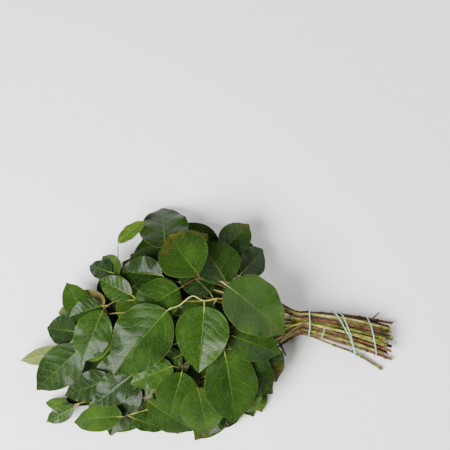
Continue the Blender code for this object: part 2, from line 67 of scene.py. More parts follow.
# The bundle of bare stems, from its neck in the head past the first tie to the cut ends. A pitch
# is the way across from one stem's place to the next.
TIE_X, CUT_X, CUT_RAGGED = 120 * MM, 226 * MM, 20 * MM
BUNDLE_Y, BUNDLE_SIDE_DRIFT, DRIFT_POWER = 5 * MM, -23 * MM, 1.3
BUNDLE_PITCH, CUT_PITCH, BUNDLE_RISE = 4.7 * MM, 7.2 * MM, 0.075
NECK_X, NECK_PITCH = 106 * MM, 5.0 * MM
STEM_GAP, STEM_RADIUS, TWIG_RADIUS, STEM_BEND = 0.5 * MM, 2.0 * MM, 1.1 * MM, 90 * MM
# The outermost stem in front springs out of the bundle past the middle tie
SPRUNG_SLOT = -2.85
SPRUNG_END = ((211 * MM, -50 * MM), (179 * MM, -31 * MM), (150 * MM, -20 * MM))

# The leafy head: a low crown that falls off to its margin
CROWN_HEIGHT, MARGIN_HEIGHT, CROWN_X = 78 * MM, 22 * MM, -25 * MM
CROWN_LONG, CROWN_NEAR, CROWN_WIDE = 115 * MM, 78 * MM, 92 * MM
HEAD_X, NECK_HALF_WIDTH, LEAFY_SHARE = 88 * MM, 60 * MM, 0.85

# A leaf, whose fold eases off towards its margin
LEAF_THICKNESS, PETIOLE, PETIOLE_HALF_WIDTH = 0.8 * MM, 7 * MM, 1.1 * MM
TIP_TAPER, FOLD_EASES = 0.85, 0.6

# The heap that the branches are laid on
CELL, GAP, HEAP_HALF_X, HEAP_HALF_Y = 1.5 * MM, 1.1 * MM, 270 * MM, 210 * MM

# The twine, how clear of the stems it lies, and how far to the side a tie takes in a stem
STRING_RADIUS, STRING_CLEARANCE, TIE_REACH = 0.6 * MM, 1.0 * MM, 38 * MM
# Each tie's loops: where along X each stands, and how it slants across the bundle
TIES = {
    "tie_head": ((TIE_X, 0.0),),
    "tie_middle": ((157.5 * MM, -0.56), (163 * MM, -0.38)),
    "tie_end": ((193.5 * MM, -0.22),),
}
print("loops in each tie", {name: len(loops) for name, loops in TIES.items()})

# %% [markdown]
# ## Places of the branches
#
# The lower branches show only at the margin of the head, so a rule with a few measures lays them.
# Each upper branch shows, so it has a row of its own, read from the photograph. A table is
# longer than a rule, but it puts each large leaf where the real one lies.

# %% The places
# The lower branches, from the table up: level in the crown, how many, their share of the reach,
# and how far along X their leaves may lie on the neck of bare stems before the tie
TIERS = ((0.02, 7, 1.0, 5 * MM), (0.24, 6, 0.97, 5 * MM), (0.46, 5, 0.9, 20 * MM))
FAN_DEGREES = (-46, 46)
# Degrees of heading to one stem's place in the bundle, and the share of its heading that a lower
# branch has where it leaves the neck
DEGREES_PER_PITCH, FAN_START = 14, 0.5
# How far the head reaches from the first tie, by the direction in degrees from -X towards +Y
REACH_ANGLES = (-70, -50, -35, -20, 0, 15, 26, 39, 59, 75)
REACHES = (85, 165, 215, 295, 330, 270, 215, 200, 125, 85)
# How far the tips of the lower leaves may reach the same way, and by how much a leaf may shorten
MARGIN_ANGLES = (-76, -68, -60, -52, -48, -40, -24, -8, 0, 10, 20, 36, 44, 56, 75)
MARGINS = (85, 100, 130, 158, 190, 216, 310, 340, 300, 285, 245, 215, 165, 140, 95)
MOST_SHORTENING = 0.42
# Two leaves that hide the table below the front ones, by branch, as in the rows further down
NECK_LEAVES = {10: (46, -3, 178, 64, 48), 11: (40, 16, 150, 64, 46)}

# The upper branches, from the lowest to the topmost. Each has its level in the crown, its place
# across the bundle in stems, its plan beyond the tie, and its leaves: place of the blade's base in
# plan, heading in degrees from +X towards +Y, length and width, all in millimetres, and for a leaf
# that has turned over the word "turned".
UPPER_BRANCHES = (
    (0.34, -1.2, ((52, -14), (-25, -45), (-100, -78), (-156, -92)),
     ((-130, -76, 150, 42, 24), (-168, -95, 171, 36, 16), (-162, -97, -152, 40, 20))),
    (0.56, -1.8, ((61, -25), (-5, -65), (-59, -94), (-97, -106)),
     ((-92, -109, -21, 48, 22), (-103, -108, -179, 72, 36))),
    (0.70, 1.8, ((64, 29), (7, 60), (-30, 68), (-50, 76)),
     ((-54, 67, 154, 52, 38), (-52, 91, 96, 84, 60), (-42, 74, 41, 58, 50))),
    (0.60, 2.7, ((79, 29), (52, 46), (31, 59), (10, 82)),
     ((39, 63, 45, 46, 36), (16, 88, 50, 50, 38))),
    (0.74, 1.4, ((55, 26), (-5, 44), (-53, 52), (-92, 52), (-106, 62), (-110, 90)),
     ((-55, 57, 171, 56, 40), (-109, 55, 126, 42, 32), (-116, 62, 159, 40, 24), (-110, 100, 42, 44, 18))),
    (0.74, 0.0, ((49, 2), (-35, 9), (-107, 14), (-140, 6), (-163, -20)),
     ((-126, 22, 147, 44, 24, "turned"), (-172, -30, -169, 60, 22, "turned"), (-155, 12, 172, 38, 20),
      (-158, -8, 170, 46, 36), (-150, 10, 115, 52, 33))),
    (0.72, -0.5, ((49, -6), (-35, -8), (-100, -4), (-146, -22)),
     ((-151, -27, -141, 86, 48),)),
    (0.66, -0.9, ((49, -7), (-23, -19), (-76, -38), (-105, -58)),
     ((-83, -40, -154, 70, 38), (-114, -65, -165, 72, 36), (-86, -57, -142, 64, 38))),
    (0.62, -2.6, ((64, -27), (10, -38), (-24, -45), (-62, -76), (-76, -86)),
     ((-71, -90, -37, 76, 40), (-31, -36, -155, 48, 31), (-42, -50, -158, 54, 36),
      (-31, -57, -106, 56, 52))),
    (0.66, -2.2, ((67, -29), (19, -46), (-12, -65)),
     ((18, -53, -20, 40, 28), (-13, -75, -76, 68, 52))),
    (0.50, -1.4, ((85, -17), (62, -24), (44, -38), (36, -62)),
     ((40, -71, -59, 44, 32), (62, -24, -62, 58, 38))),
    (0.80, 0.4, ((55, 14), (10, 26), (-30, 26), (-71, 29), (-97, 29), (-109, 30), (-122, 22)),
     ((2, 36, 135, 54, 38), (-91, 34, 156, 46, 30), (-128, 23, -162, 42, 28), (-126, 17, -112, 68, 44))),
    (0.80, -0.8, ((73, -11), (37, -11), (14, -20)),
     ((28, -33, -43, 80, 45), (18, -31, -78, 92, 66), (26, -14, -20, 64, 44))),
    (0.88, 1.1, ((67, 25), (37, 36), (17, 44), (-11, 53), (-30, 44)),
     ((22, 46, 119, 66, 60), (-12, 56, 128, 68, 62), (-35, 41, -151, 70, 52))),
    (0.92, 0.6, ((67, 17), (19, 29), (-5, 26), (-19, 31), (-34, 20), (-43, 17)),
     ((6, 22, -113, 64, 48), (-5, 19, -94, 78, 62), (-48, 14, -133, 100, 74))),
    (0.92, 1.8, ((75, 25), (50, 37), (28, 46), (13, 49)),
     ((21, 44, -37, 92, 70),)),
)
print("branches by rule", sum(tier[1] for tier in TIERS), "and by place", len(UPPER_BRANCHES))

# %% [markdown]
# ## The form of a leaf
#
# A salal blade is an oval with a short point. It folds a little along its midrib and arches from
# base to tip. The same few formulas that shaped the solid blades shape the fine ones, so the two
# agree. `blade` gives points in the leaf's own frame, and `place` takes them to the table.


# %% A leaf and a branch
@dataclass
class Leaf:
    """One leaf. The values with a default are set as it is placed on its stem and on the heap."""

    x: float
    y: float
    heading: float
    length: float
    width: float
    arch: float
    fold: float
    fullness: float
    turned: bool = False
    pressed: bool = False
    node: int = 0
    root: tuple = (0.0, 0.0, 0.0)
    z: float = 0.0
    pitch: float = 0.0
    roll: float = 0.0


@dataclass
class Branch:
    """A stem as a line of points with a radius at each, and its leaves."""

    line: np.ndarray
    radius: np.ndarray
    leaves: list


print("each leaf has", ", ".join(Leaf.__annotations__))


# %% The crown and a smooth curve
def crown(x, y):
    """Height of the head's upper surface over a place on the table."""
    long = np.where(x > CROWN_X, CROWN_NEAR, CROWN_LONG)
    fall = np.exp(-(((x - CROWN_X) / long) ** 2) - (y / CROWN_WIDE) ** 2)
    return MARGIN_HEIGHT + (CROWN_HEIGHT - MARGIN_HEIGHT) * fall


def curve_through(points, step):
    """Points about one step apart along a smooth curve through the given ones."""
    knots = [points[0], *points, points[-1]]
    line = []
    for a, b, c, d in zip(knots, knots[1:], knots[2:], knots[3:]):
        count = max(2, round(math.dist(b, c) / step))
        for i in range(count):
            t = i / count
            # Weights of a cubic curve that passes through every given point
            weights = (-t + 2 * t**2 - t**3, 2 - 5 * t**2 + 3 * t**3, t + 4 * t**2 - 3 * t**3, t**3 - t**2)
            line.append([sum(w * v for w, v in zip(weights, near)) / 2 for near in zip(a, b, c, d)])
    line.append(list(points[-1]))
    return np.array(line)


def share_into_head(x):
    """0 at the first tie and beyond it, 1 in the leafy head, and between them on the neck."""
    return np.clip((TIE_X - x) / (TIE_X - HEAD_X), 0, 1)


def lengths_along(line):
    """How far each point of a line is from its start, measured along it."""
    return np.concatenate([[0], np.cumsum(np.linalg.norm(np.diff(line, axis=0), axis=1))])


print("stems in the crown reach up to", round(float(crown(CROWN_X, 0.0)), 3), "m")


# %% The blade
def outline(s, fullness):
    """Half width of a blade at the share s of its length, as a share of its greatest."""
    widest = fullness / (fullness + TIP_TAPER)
    greatest = widest**fullness * (1 - widest) ** TIP_TAPER
    return s**fullness * (1 - s) ** TIP_TAPER / greatest


def blade(leaf, s, t, half=None):
    """Points of a blade's upper face: s runs from base to tip, and t from edge to edge."""
    if half is None:
        half = leaf.width / 2 * outline(s, leaf.fullness)
    across = t * half
    bend = leaf.arch * s
    along = leaf.length * np.sin(bend) / leaf.arch
    drop = leaf.length * (1 - np.cos(bend)) / leaf.arch
    cupped = leaf.fold * np.abs(across) * (1 - FOLD_EASES * np.abs(across) / leaf.width)
    return np.stack([along, across, cupped - drop], axis=-1)


def place(leaf, points, below=0.0):
    """Takes points from a leaf's own frame to the table's, moved below the upper face."""
    c, s = math.cos(leaf.heading), math.sin(leaf.heading)
    level, rise = math.cos(leaf.pitch), math.sin(leaf.pitch)
    forward = np.array([c * level, s * level, rise])
    side = np.array([-s, c, 0.0])
    up = np.cross(forward, side)
    side, up = (
        side * math.cos(leaf.roll) + up * math.sin(leaf.roll),
        up * math.cos(leaf.roll) - side * math.sin(leaf.roll),
    )
    base = np.array([leaf.x, leaf.y, leaf.z])
    return base + points[..., :1] * forward + points[..., 1:2] * side + (points[..., 2:] - below) * up


print("half widths along a blade", np.round(outline(np.linspace(0, 1, 6), 0.6), 2))

# %% [markdown]
# ## Laying the heap
#
# Each stem, and then each of its leaves, comes to rest on what lies below it. Two grids of cells
# hold the heights of the stems and of the leaves laid so far. A leaf tries a few tilts and keeps
# the one that lies lowest. A physics simulation could do it too, but it would take minutes and
# would not put the leaves where the photograph has them.


# %% The heap
class Heap:
    """The heights of the stems and of the leaves laid so far, on a grid of square cells."""

    def __init__(self):
        shape = round(2 * HEAP_HALF_X / CELL), round(2 * HEAP_HALF_Y / CELL)
        self.stems, self.leaves = np.zeros(shape), np.zeros(shape)

    def cells(self, points):
        column = ((points[:, 0] + HEAP_HALF_X) / CELL).astype(int)
        row = ((points[:, 1] + HEAP_HALF_Y) / CELL).astype(int)
        return column, row

    def floor_under(self, points, over_stems=True):
        """The lowest that a thing may lie: on the table, or a gap above what is there."""
        cells = self.cells(points)
        top = self.leaves[cells]
        if over_stems:
            top = np.maximum(top, self.stems[cells])
        return np.where(top > 0, top + GAP, 0.0)

    def add(self, points, are_leaves=True):
        column, row = self.cells(points)
        grid = self.leaves if are_leaves else self.stems
        for x in (-1, 0, 1):
            for y in (-1, 0, 1):
                np.maximum.at(grid, (column + x, row + y), points[:, 2])


print("heap of", Heap().stems.shape, "cells")

# %% Laying a stem
# Where a stem's upper side is measured, as shares of its radius from one side to the other
STEM_SHARES = np.linspace(-1, 1, 7)


def rest_on_stems(branches, plan, radius):
    """The lowest that a stem may lie at each of its points, above the stems laid so far."""
    low = np.zeros(len(plan))
    for branch in branches:
        apart = plan[:, None, :] - branch.line[None, :, :2]
        clear = radius[:, None] + branch.radius + STEM_GAP
        rise = clear**2 - (apart**2).sum(axis=2)
        rest = np.where(rise > 0, branch.line[:, 2] + np.sqrt(np.maximum(rise, 0)), 0)
        low = np.maximum(low, rest.max(axis=1))
    return low


def lay_stem(heap, branches, plan, level, radius):
    """Rests a stem on what is laid so far along its plan."""
    step = np.gradient(plan, axis=0)
    normal = np.stack([-step[:, 1], step[:, 0]], axis=1) / np.linalg.norm(step, axis=1)[:, None]
    along = lengths_along(plan)
    x, y = plan.T
    low = rest_on_stems(branches, plan, radius)
    for q in STEM_SHARES:
        edge = plan + q * radius[:, None] * normal
        low = np.maximum(low, heap.floor_under(edge, False) + radius * math.sqrt(1 - q * q))
    bundle = STEM_RADIUS + BUNDLE_RISE * (CUT_X - x)
    into_head = share_into_head(x)
    aim = bundle * (1 - into_head) + np.maximum(level * crown(x, y), radius) * into_head
    low = np.maximum(low, aim)
    z = (low[None, :] - (along[:, None] - along[None, :]) ** 2 / (2 * STEM_BEND)).max(axis=1)
    line = np.column_stack([x, y, z])
    for q in STEM_SHARES:
        edge = np.column_stack([plan + q * radius[:, None] * normal, z + radius * math.sqrt(1 - q * q)])
        heap.add(edge, False)
    return line


print("a stem is measured at", np.round(STEM_SHARES, 2))

# %% Laying a leaf
# Where a blade is measured, by the shares that the function blade takes
BLADE_S, BLADE_T = (g.ravel() for g in np.meshgrid(np.linspace(0.02, 1, 58), np.linspace(-1, 1, 41)))
# A leaf's draws of pitch and roll, and the turns that it then tries, in degrees
PITCH_DRAW, ROLL_DRAW = (-8, 6), (-8, 8)
TILTS, LEANS = range(-20, 21, 4), range(-15, 16, 5)
# What counts against a turn: a high top, a lift off the stem, and each degree, in millimetres
TOP_WEIGHT, LIFT_WEIGHT, TURN_WEIGHT = 0.3, 0.5, 0.06
# How far below the root of its petiole a blade may start
BASE_SINKS = 1.0 * MM
# A blade's arch is a divisor, so even a flat one has a trace of it
NO_ARCH = 1e-6


def slope_of_crown(x, y, level, heading):
    """How steeply the crown's layer climbs along a heading, and across it."""
    d = 2 * MM
    east = level * (crown(x + d, y) - crown(x - d, y)) / (2 * d)
    north = level * (crown(x, y + d) - crown(x, y - d)) / (2 * d)
    ahead = east * math.cos(heading) + north * math.sin(heading)
    across = -east * math.sin(heading) + north * math.cos(heading)
    return math.atan(ahead), math.atan(across)


def lay_leaf(heap, leaf, level, draw):
    """Turns and lifts a leaf until it lies clear of the heap and as low on it as it can."""
    middle_x = leaf.x + leaf.length / 2 * math.cos(leaf.heading)
    middle_y = leaf.y + leaf.length / 2 * math.sin(leaf.heading)
    pitch, roll = slope_of_crown(middle_x, middle_y, level, leaf.heading)
    pitch += math.radians(draw.uniform(*PITCH_DRAW))
    roll += math.radians(draw.uniform(*ROLL_DRAW)) + (math.pi if leaf.turned else 0)
    start = leaf.root[2] - BASE_SINKS
    points = blade(leaf, BLADE_S, BLADE_T)
    best = None
    for tilt in TILTS:
        for lean in LEANS:
            leaf.z, leaf.pitch, leaf.roll = start, pitch + math.radians(tilt), roll + math.radians(lean)
            under = place(leaf, points, LEAF_THICKNESS)
            over = place(leaf, points)
            lift = max(0.0, (heap.floor_under(under) - np.minimum(under, over)[:, 2]).max())
            height = over[:, 2].mean() + TOP_WEIGHT * over[:, 2].max() + lift
            cost = height + LIFT_WEIGHT * lift + abs(tilt) * TURN_WEIGHT * MM + abs(lean) * TURN_WEIGHT * MM
            if best is None or cost < best[0]:
                best = (cost, start + lift, leaf.pitch, leaf.roll)
    _, leaf.z, leaf.pitch, leaf.roll = best
    settle(heap, leaf, points)


def lay_flat(heap, leaf):
    """Presses a leaf flat on the bare table. Says whether the table is bare there."""
    kept = leaf.arch, leaf.fold
    leaf.arch, leaf.fold = NO_ARCH, 0.0
    leaf.z, leaf.pitch, leaf.roll = LEAF_THICKNESS, 0.0, 0.0
    points = blade(leaf, BLADE_S, BLADE_T)
    if (heap.floor_under(place(leaf, points)) > 0).any():
        leaf.arch, leaf.fold = kept
        return False
    leaf.pressed = True
    settle(heap, leaf, points)
    return True


def settle(heap, leaf, points):
    """Adds a leaf that has come to rest to the heap, with its petiole."""
    over, under = place(leaf, points), place(leaf, points, LEAF_THICKNESS)
    heap.add(np.maximum(over, under))
    share = np.linspace(0, 1, 9)[:, None]
    petiole = np.array(leaf.root) * (1 - share) + np.array([leaf.x, leaf.y, leaf.z]) * share
    heap.add(petiole + np.array([0, 0, PETIOLE_HALF_WIDTH]))


print("a leaf tries", len(TILTS) * len(LEANS), "turns")

# %% [markdown]
# ## Laying the branches
#
# The lower branches fan out by rule, each with its seeded draws. The upper ones follow the table
# of places above. Both start at a cut end, run through the bundle and pass the first tie. The
# draws come in the same order as they did for the solids, because one draw more or less would move
# every branch after it.


# %% From the cut end to the neck
def bundle_plan(draw, slot):
    """Plan of a bare stem from its cut end past the first tie to the neck of the bundle."""
    cut_slot = slot + draw.uniform(-0.5, 0.5)
    cut_x = CUT_X - draw.uniform(0, CUT_RAGGED)
    points = []
    for x in (cut_x, 0.5 * (cut_x + TIE_X), TIE_X):
        beyond = (x - TIE_X) / (CUT_X - TIE_X)
        across = (1 - beyond) * slot * BUNDLE_PITCH + beyond * cut_slot * CUT_PITCH
        points.append((x, BUNDLE_Y + BUNDLE_SIDE_DRIFT * beyond**DRIFT_POWER + across))
    if slot < SPRUNG_SLOT:
        points[:2] = SPRUNG_END
    points.append((NECK_X, BUNDLE_Y + slot * NECK_PITCH))
    return points


def stem_radius(count):
    return np.linspace(STEM_RADIUS, TWIG_RADIUS, count)


print("bare stems are", round(CUT_X - TIE_X, 3), "m long beyond the first tie")

# %% Leaves by rule
# Lengths of a leaf and of the leaf at a stem's tip, and the way from one leaf to the next, all in
# millimetres, width as a share of length, and degrees between a leaf and its stem
LEAF_LENGTHS, TIP_LEAF_LENGTHS, LEAF_SPACING = (60, 84), (60, 76), (23, 30)
LEAF_SLIMNESS, LEAF_ANGLES = (0.6, 0.74), (48, 74)
# How far the leaf at the tip may turn from its stem, in radians, and a petiole's share of a turn
TIP_LEAF_TURN, PETIOLE_TURN = 0.25, 0.7


def random_leaf(draw, x, y, heading, length, width):
    return Leaf(
        x, y, heading, length, width,
        arch=draw.uniform(0.12, 0.4),
        fold=draw.uniform(0.08, 0.28),
        fullness=draw.uniform(0.5, 0.72),
    )


def clear_of_neck(leaf, neck):
    """Whether a leaf keeps away from the bare stems just beyond the tie."""
    for share in (0.1, 0.45, 1.0):
        x = leaf.x + share * leaf.length * math.cos(leaf.heading)
        y = leaf.y + share * leaf.length * math.sin(leaf.heading)
        if x > neck and abs(y - BUNDLE_Y) < NECK_HALF_WIDTH:
            return False
    return True


def keep_within_margin(leaf):
    """Shortens a leaf whose tip would stand out past the head's margin."""
    tip_x = leaf.x + leaf.length * math.cos(leaf.heading) - TIE_X
    tip_y = leaf.y + leaf.length * math.sin(leaf.heading) - BUNDLE_Y
    margin = np.interp(math.degrees(math.atan2(tip_y, -tip_x)), MARGIN_ANGLES, MARGINS) * MM
    past = max(math.hypot(tip_x, tip_y) - margin, 0.0)
    share = 1 - min(past / leaf.length, MOST_SHORTENING)
    leaf.length *= share
    leaf.width *= share


def nearest(line, x, y):
    return int(np.argmin(np.hypot(line[:, 0] - x, line[:, 1] - y)))


def leaves_by_rule(draw, line, along, leafy, last_length, neck):
    """Leaves that stand by turns on both sides of a stem, from its tip down."""
    from_tip, side, leaves = 0.0, draw.choice((-1, 1)), []
    while from_tip < leafy:
        here = min(int(np.searchsorted(along, along[-1] - from_tip)), len(line) - 1)
        before = line[max(here - 6, 0)]
        ahead = math.atan2(line[here, 1] - before[1], line[here, 0] - before[0])
        if leaves:
            turn = side * math.radians(draw.uniform(*LEAF_ANGLES))
            length = draw.uniform(*LEAF_LENGTHS) * MM
        else:
            turn, length = draw.uniform(-TIP_LEAF_TURN, TIP_LEAF_TURN), last_length
        petiole = ahead + PETIOLE_TURN * turn
        leaf = random_leaf(
            draw,
            line[here, 0] + PETIOLE * math.cos(petiole),
            line[here, 1] + PETIOLE * math.sin(petiole),
            ahead + turn, length, length * draw.uniform(*LEAF_SLIMNESS),
        )
        leaf.node, leaf.root = here, tuple(line[here])
        keep_within_margin(leaf)
        if clear_of_neck(leaf, neck):
            leaves.append(leaf)
        from_tip += draw.uniform(*LEAF_SPACING) * MM
        side = -side
    return leaves


print("lower leaves are", LEAF_LENGTHS, "mm long")

# %% A lower branch
# The least from the first tie to a stem's tip, and how much a stem may bow aside
SHORTEST_TIP, BOW = 45 * MM, 0.10


def lay_lower_branch(heap, branches, draw, level, angle, share, neck):
    """One branch of the lower tiers, with leaves along the far part of its stem."""
    reach = share * MM * np.interp(math.degrees(angle), REACH_ANGLES, REACHES)
    last_length = draw.uniform(*TIP_LEAF_LENGTHS) * MM
    tip = max(reach - last_length, SHORTEST_TIP)
    bow = draw.uniform(-BOW, BOW)
    plan = bundle_plan(draw, math.degrees(angle) / DEGREES_PER_PITCH)
    centre_y = plan[-2][1]
    for share_along in (0.35, 0.7, 1.0):
        turn = angle * (FAN_START + (1 - FAN_START) * share_along) + bow * share_along
        plan.append((
            TIE_X - tip * share_along * math.cos(turn),
            centre_y * (1 - share_along) + tip * share_along * math.sin(turn),
        ))
    plan = curve_through(plan, CELL)
    radius = stem_radius(len(plan))
    line = lay_stem(heap, branches, plan, level, radius)
    leaves = leaves_by_rule(draw, line, lengths_along(plan), LEAFY_SHARE * tip, last_length, neck)
    for leaf in leaves:
        if level > TIERS[0][0] or not lay_flat(heap, leaf):
            lay_leaf(heap, leaf, level, draw)
    return Branch(line, radius, leaves)


print("lower branches run", SHORTEST_TIP, "m or more past the first tie")


# %% An upper branch
def lay_placed_leaf(heap, line, draw, level, x, y, heading, length, width, *turned):
    """Lays a leaf that has a place of its own, in millimetres and degrees, and joins it to its stem."""
    heading = math.radians(heading)
    leaf = random_leaf(draw, x * MM, y * MM, heading, length * MM, width * MM)
    leaf.turned = bool(turned)
    back = nearest(line, leaf.x - PETIOLE * math.cos(heading), leaf.y - PETIOLE * math.sin(heading))
    leaf.node, leaf.root = back, tuple(line[back])
    lay_leaf(heap, leaf, level, draw)
    return leaf


def lay_upper_branch(heap, branches, draw, level, slot, beyond_tie, leaf_rows):
    """One of the branches whose leaves have places of their own."""
    plan = bundle_plan(draw, slot) + [(x * MM, y * MM) for x, y in beyond_tie]
    plan = curve_through(plan, CELL)
    radius = stem_radius(len(plan))
    line = lay_stem(heap, branches, plan, level, radius)
    return Branch(line, radius, [lay_placed_leaf(heap, line, draw, level, *row) for row in leaf_rows])


print("leaves with places of their own", sum(len(row[3]) for row in UPPER_BRANCHES))


# %% The whole bunch, from the table up
def lay_bunch():
    """Lays every branch, from the table up."""
    heap, draw, branches = Heap(), random.Random(SEED), []
    for level, count, share, neck in TIERS:
        for i in range(count):
            where = (i + 0.5 + draw.uniform(-0.2, 0.2)) / count
            angle = math.radians(FAN_DEGREES[0] + where * (FAN_DEGREES[1] - FAN_DEGREES[0]))
            branch = lay_lower_branch(heap, branches, draw, level, angle, share, neck)
            branches.append(branch)
            number = len(branches)
            if number in NECK_LEAVES:
                row = NECK_LEAVES[number]
                branch.leaves.append(lay_placed_leaf(heap, branch.line, random.Random(number), level, *row))
    for row in UPPER_BRANCHES:
        branches.append(lay_upper_branch(heap, branches, draw, *row))
    return branches


branches = lay_bunch()
print("laid", len(branches), "branches with", sum(len(branch.leaves) for branch in branches), "leaves")

# %% [markdown]
# ## Writing finishes as sums
#
# A finish is a small sum over the surface: darker here, paler along the veins. Node by node that
# is hard to read, so `Value` wraps a node's output and lets Python's operators add the Math nodes.
# Colours go through a Mix node, because a Math node would turn them grey.


# %% Shader maths
class Value:
    """The output of a node, on which Python's operators add Math nodes."""

    def __init__(self, finish, socket):
        self.finish, self.socket = finish, socket

    def maths(self, operation, *values):
        return self.finish.node("ShaderNodeMath", {"operation": operation}, dict(enumerate(values)))

    def __add__(self, other):
        return self.maths("ADD", self, other)

    def __sub__(self, other):
        return self.maths("SUBTRACT", self, other)

    def __rsub__(self, other):
        return self.maths("SUBTRACT", other, self)

    def __mul__(self, other):
        return self.maths("MULTIPLY", self, other)

    __radd__, __rmul__ = __add__, __mul__

    def size(self):
        return self.maths("ABSOLUTE", self)

    def above(self, limit):
        return self.maths("GREATER_THAN", self, limit)

    def from_whole(self):
        """How far the value is from the nearest whole number, from 0 to a half."""
        return self.maths("PINGPONG", self, 0.5)

    def fades(self, start, end):
        """1 at start, 0 at end, and smooth between."""
        inputs = {"Value": self, "From Min": start, "From Max": end, "To Min": 1.0, "To Max": 0.0}
        return self.finish.node("ShaderNodeMapRange", {"interpolation_type": "SMOOTHSTEP"}, inputs)


# %% A finish
# The Mix node's sockets for an amount and for colours, which share their names with its others
MIX_AMOUNT, MIX_FIRST, MIX_SECOND, MIX_RESULT = 0, 6, 7, 2
# How far apart patterns are taken on two parts whose numbers are 1 apart, in millimetres
PARTS_APART = 97.0


class Finish:
    """A material with a Principled shader. Numbers set here are the same all over the surface."""

    def __init__(self, name, shown, **constants):
        self.material = bpy.data.materials.new(name)
        self.material.use_nodes = True
        self.material.diffuse_color = (*shown, 1.0)
        self.tree = self.material.node_tree
        self.shader = self.tree.nodes["Principled BSDF"]
        for socket, number in constants.items():
            self.shader.inputs[socket.replace("_", " ")].default_value = number

    def put(self, socket, value):
        if isinstance(value, Value):
            self.tree.links.new(value.socket, socket)
        else:
            socket.default_value = value

    def node(self, kind, settings, inputs, output=0):
        """Any node: its settings first, then the values or links of its sockets."""
        made = self.tree.nodes.new(kind)
        for name, setting in settings.items():
            if name == "stops":
                stops = made.color_ramp.elements
                stops[0].position, stops[1].position = setting[0][0], setting[-1][0]
                for at, _ in setting[1:-1]:
                    stops.new(at)
                for stop, (_, colour) in zip(stops, setting):
                    stop.color = (*colour, 1.0)
            else:
                setattr(made, name, setting)
        for socket, value in inputs.items():
            self.put(made.inputs[socket], value)
        return Value(self, made.outputs[output])

    def number(self, name):
        """A number that the mesh carries on its points."""
        return self.node("ShaderNodeAttribute", {"attribute_name": name}, {}, "Fac")

    def vector(self, x, y, z):
        return self.node("ShaderNodeCombineXYZ", {}, {0: x, 1: y, 2: z})

    def on_part(self):
        """A place on a leaf or a stem, in millimetres, apart from every other part's places."""
        return self.vector(self.number("along"), self.number("across"), self.number("part") * PARTS_APART)

    def noise(self, where, scale, detail=3.0, roughness=0.55):
        inputs = {"Vector": where, "Scale": scale, "Detail": detail, "Roughness": roughness}
        return self.node("ShaderNodeTexNoise", {}, inputs)

    def ramp(self, value, stops):
        return self.node("ShaderNodeValToRGB", {"stops": stops}, {"Fac": value})

    def mix(self, amount, first, second):
        """First colour where the amount is 0 and second where it is 1."""
        first, second = (c if isinstance(c, Value) else (*c, 1.0) for c in (first, second))
        inputs = {MIX_AMOUNT: amount, MIX_FIRST: first, MIX_SECOND: second}
        return self.node("ShaderNodeMix", {"data_type": "RGBA"}, inputs, MIX_RESULT)

    def finish(self, colour, roughness, height, depth):
        """Links what varies: colour, roughness, and a relief of a given depth in metres."""
        bump = self.node("ShaderNodeBump", {}, {"Height": height, "Distance": depth, "Strength": 1.0})
        self.put(self.shader.inputs["Base Color"], colour)
        self.put(self.shader.inputs["Roughness"], roughness)
        self.put(self.shader.inputs["Normal"], bump)
        return self.material


print("patterns move on by", PARTS_APART, "mm from branch to branch")

# %% [markdown]
# ## The face of a leaf
#
# A salal leaf is dark green and leathery, with a pale midrib and fine side veins that leave it
# one after the other and bend towards the tip. Young leaves are lighter and yellower, and old ones
# turn brown in patches near the tip. The mesh carries, on each of its points, how far it is along
# and across the leaf, so the veins follow every leaf exactly. The veins are pressed into the
# surface, which puckers between them and breaks up the shine. On the paler and duller underside
# they stand out. An image of one leaf could be laid on every blade, but then all would look alike.

# %% A leaf's colours
# Tones of the two sides, from the darkest leaf to the palest, and what is mixed over them
FACE_TONES = (
    (0.0, (0.002, 0.009, 0.001)), (0.35, (0.008, 0.024, 0.002)),
    (0.65, (0.022, 0.056, 0.005)), (1.0, (0.061, 0.114, 0.012)),
)
BACK_TONES = ((0.0, (0.050, 0.080, 0.014)), (0.5, (0.090, 0.126, 0.024)), (1.0, (0.146, 0.180, 0.040)))
FACE_COLOURS = {
    "browned": (0.080, 0.048, 0.003), "net": (0.050, 0.100, 0.008), "side vein": (0.070, 0.130, 0.014),
    "midrib": (0.115, 0.190, 0.026), "margin": (0.110, 0.165, 0.020),
}
BACK_COLOURS = {
    "browned": (0.200, 0.130, 0.045), "side vein": (0.230, 0.270, 0.100), "midrib": (0.300, 0.310, 0.120),
}
print("colours over the tones:", ", ".join(FACE_COLOURS))

# %% Leaf finishes
# Where the midrib fades out, in millimetres from the middle, and how much it narrows to the tip
MIDRIB_FADES, MIDRIB_NARROWS = (0.2, 0.75), 0.35
# Where a side vein and its hollow fade out, as shares of the way to the next vein, and how far
# along that way the veins of one half stand from those of the other
VEIN_FADES, HOLLOW_FADES, VEINS_OFFSET = (0.01, 0.08), (0.0, 0.42), 0.46


def veins_of(leaf):
    """Where the midrib and the side veins run, from 0 to 1, and how near a point is to a vein."""
    across, share = leaf.number("across"), leaf.number("share")
    midrib = (across.size() + MIDRIB_NARROWS * share).fades(*MIDRIB_FADES)
    wander = leaf.noise(leaf.on_part(), 0.07) - 0.5
    off_vein = (leaf.number("vein") + across.above(0.0) * VEINS_OFFSET + wander).from_whole()
    side_veins = off_vein.fades(*VEIN_FADES) * leaf.number("margin").fades(0.6, 1.05)
    return midrib, side_veins * (1.0 - midrib), off_vein.fades(*HOLLOW_FADES)


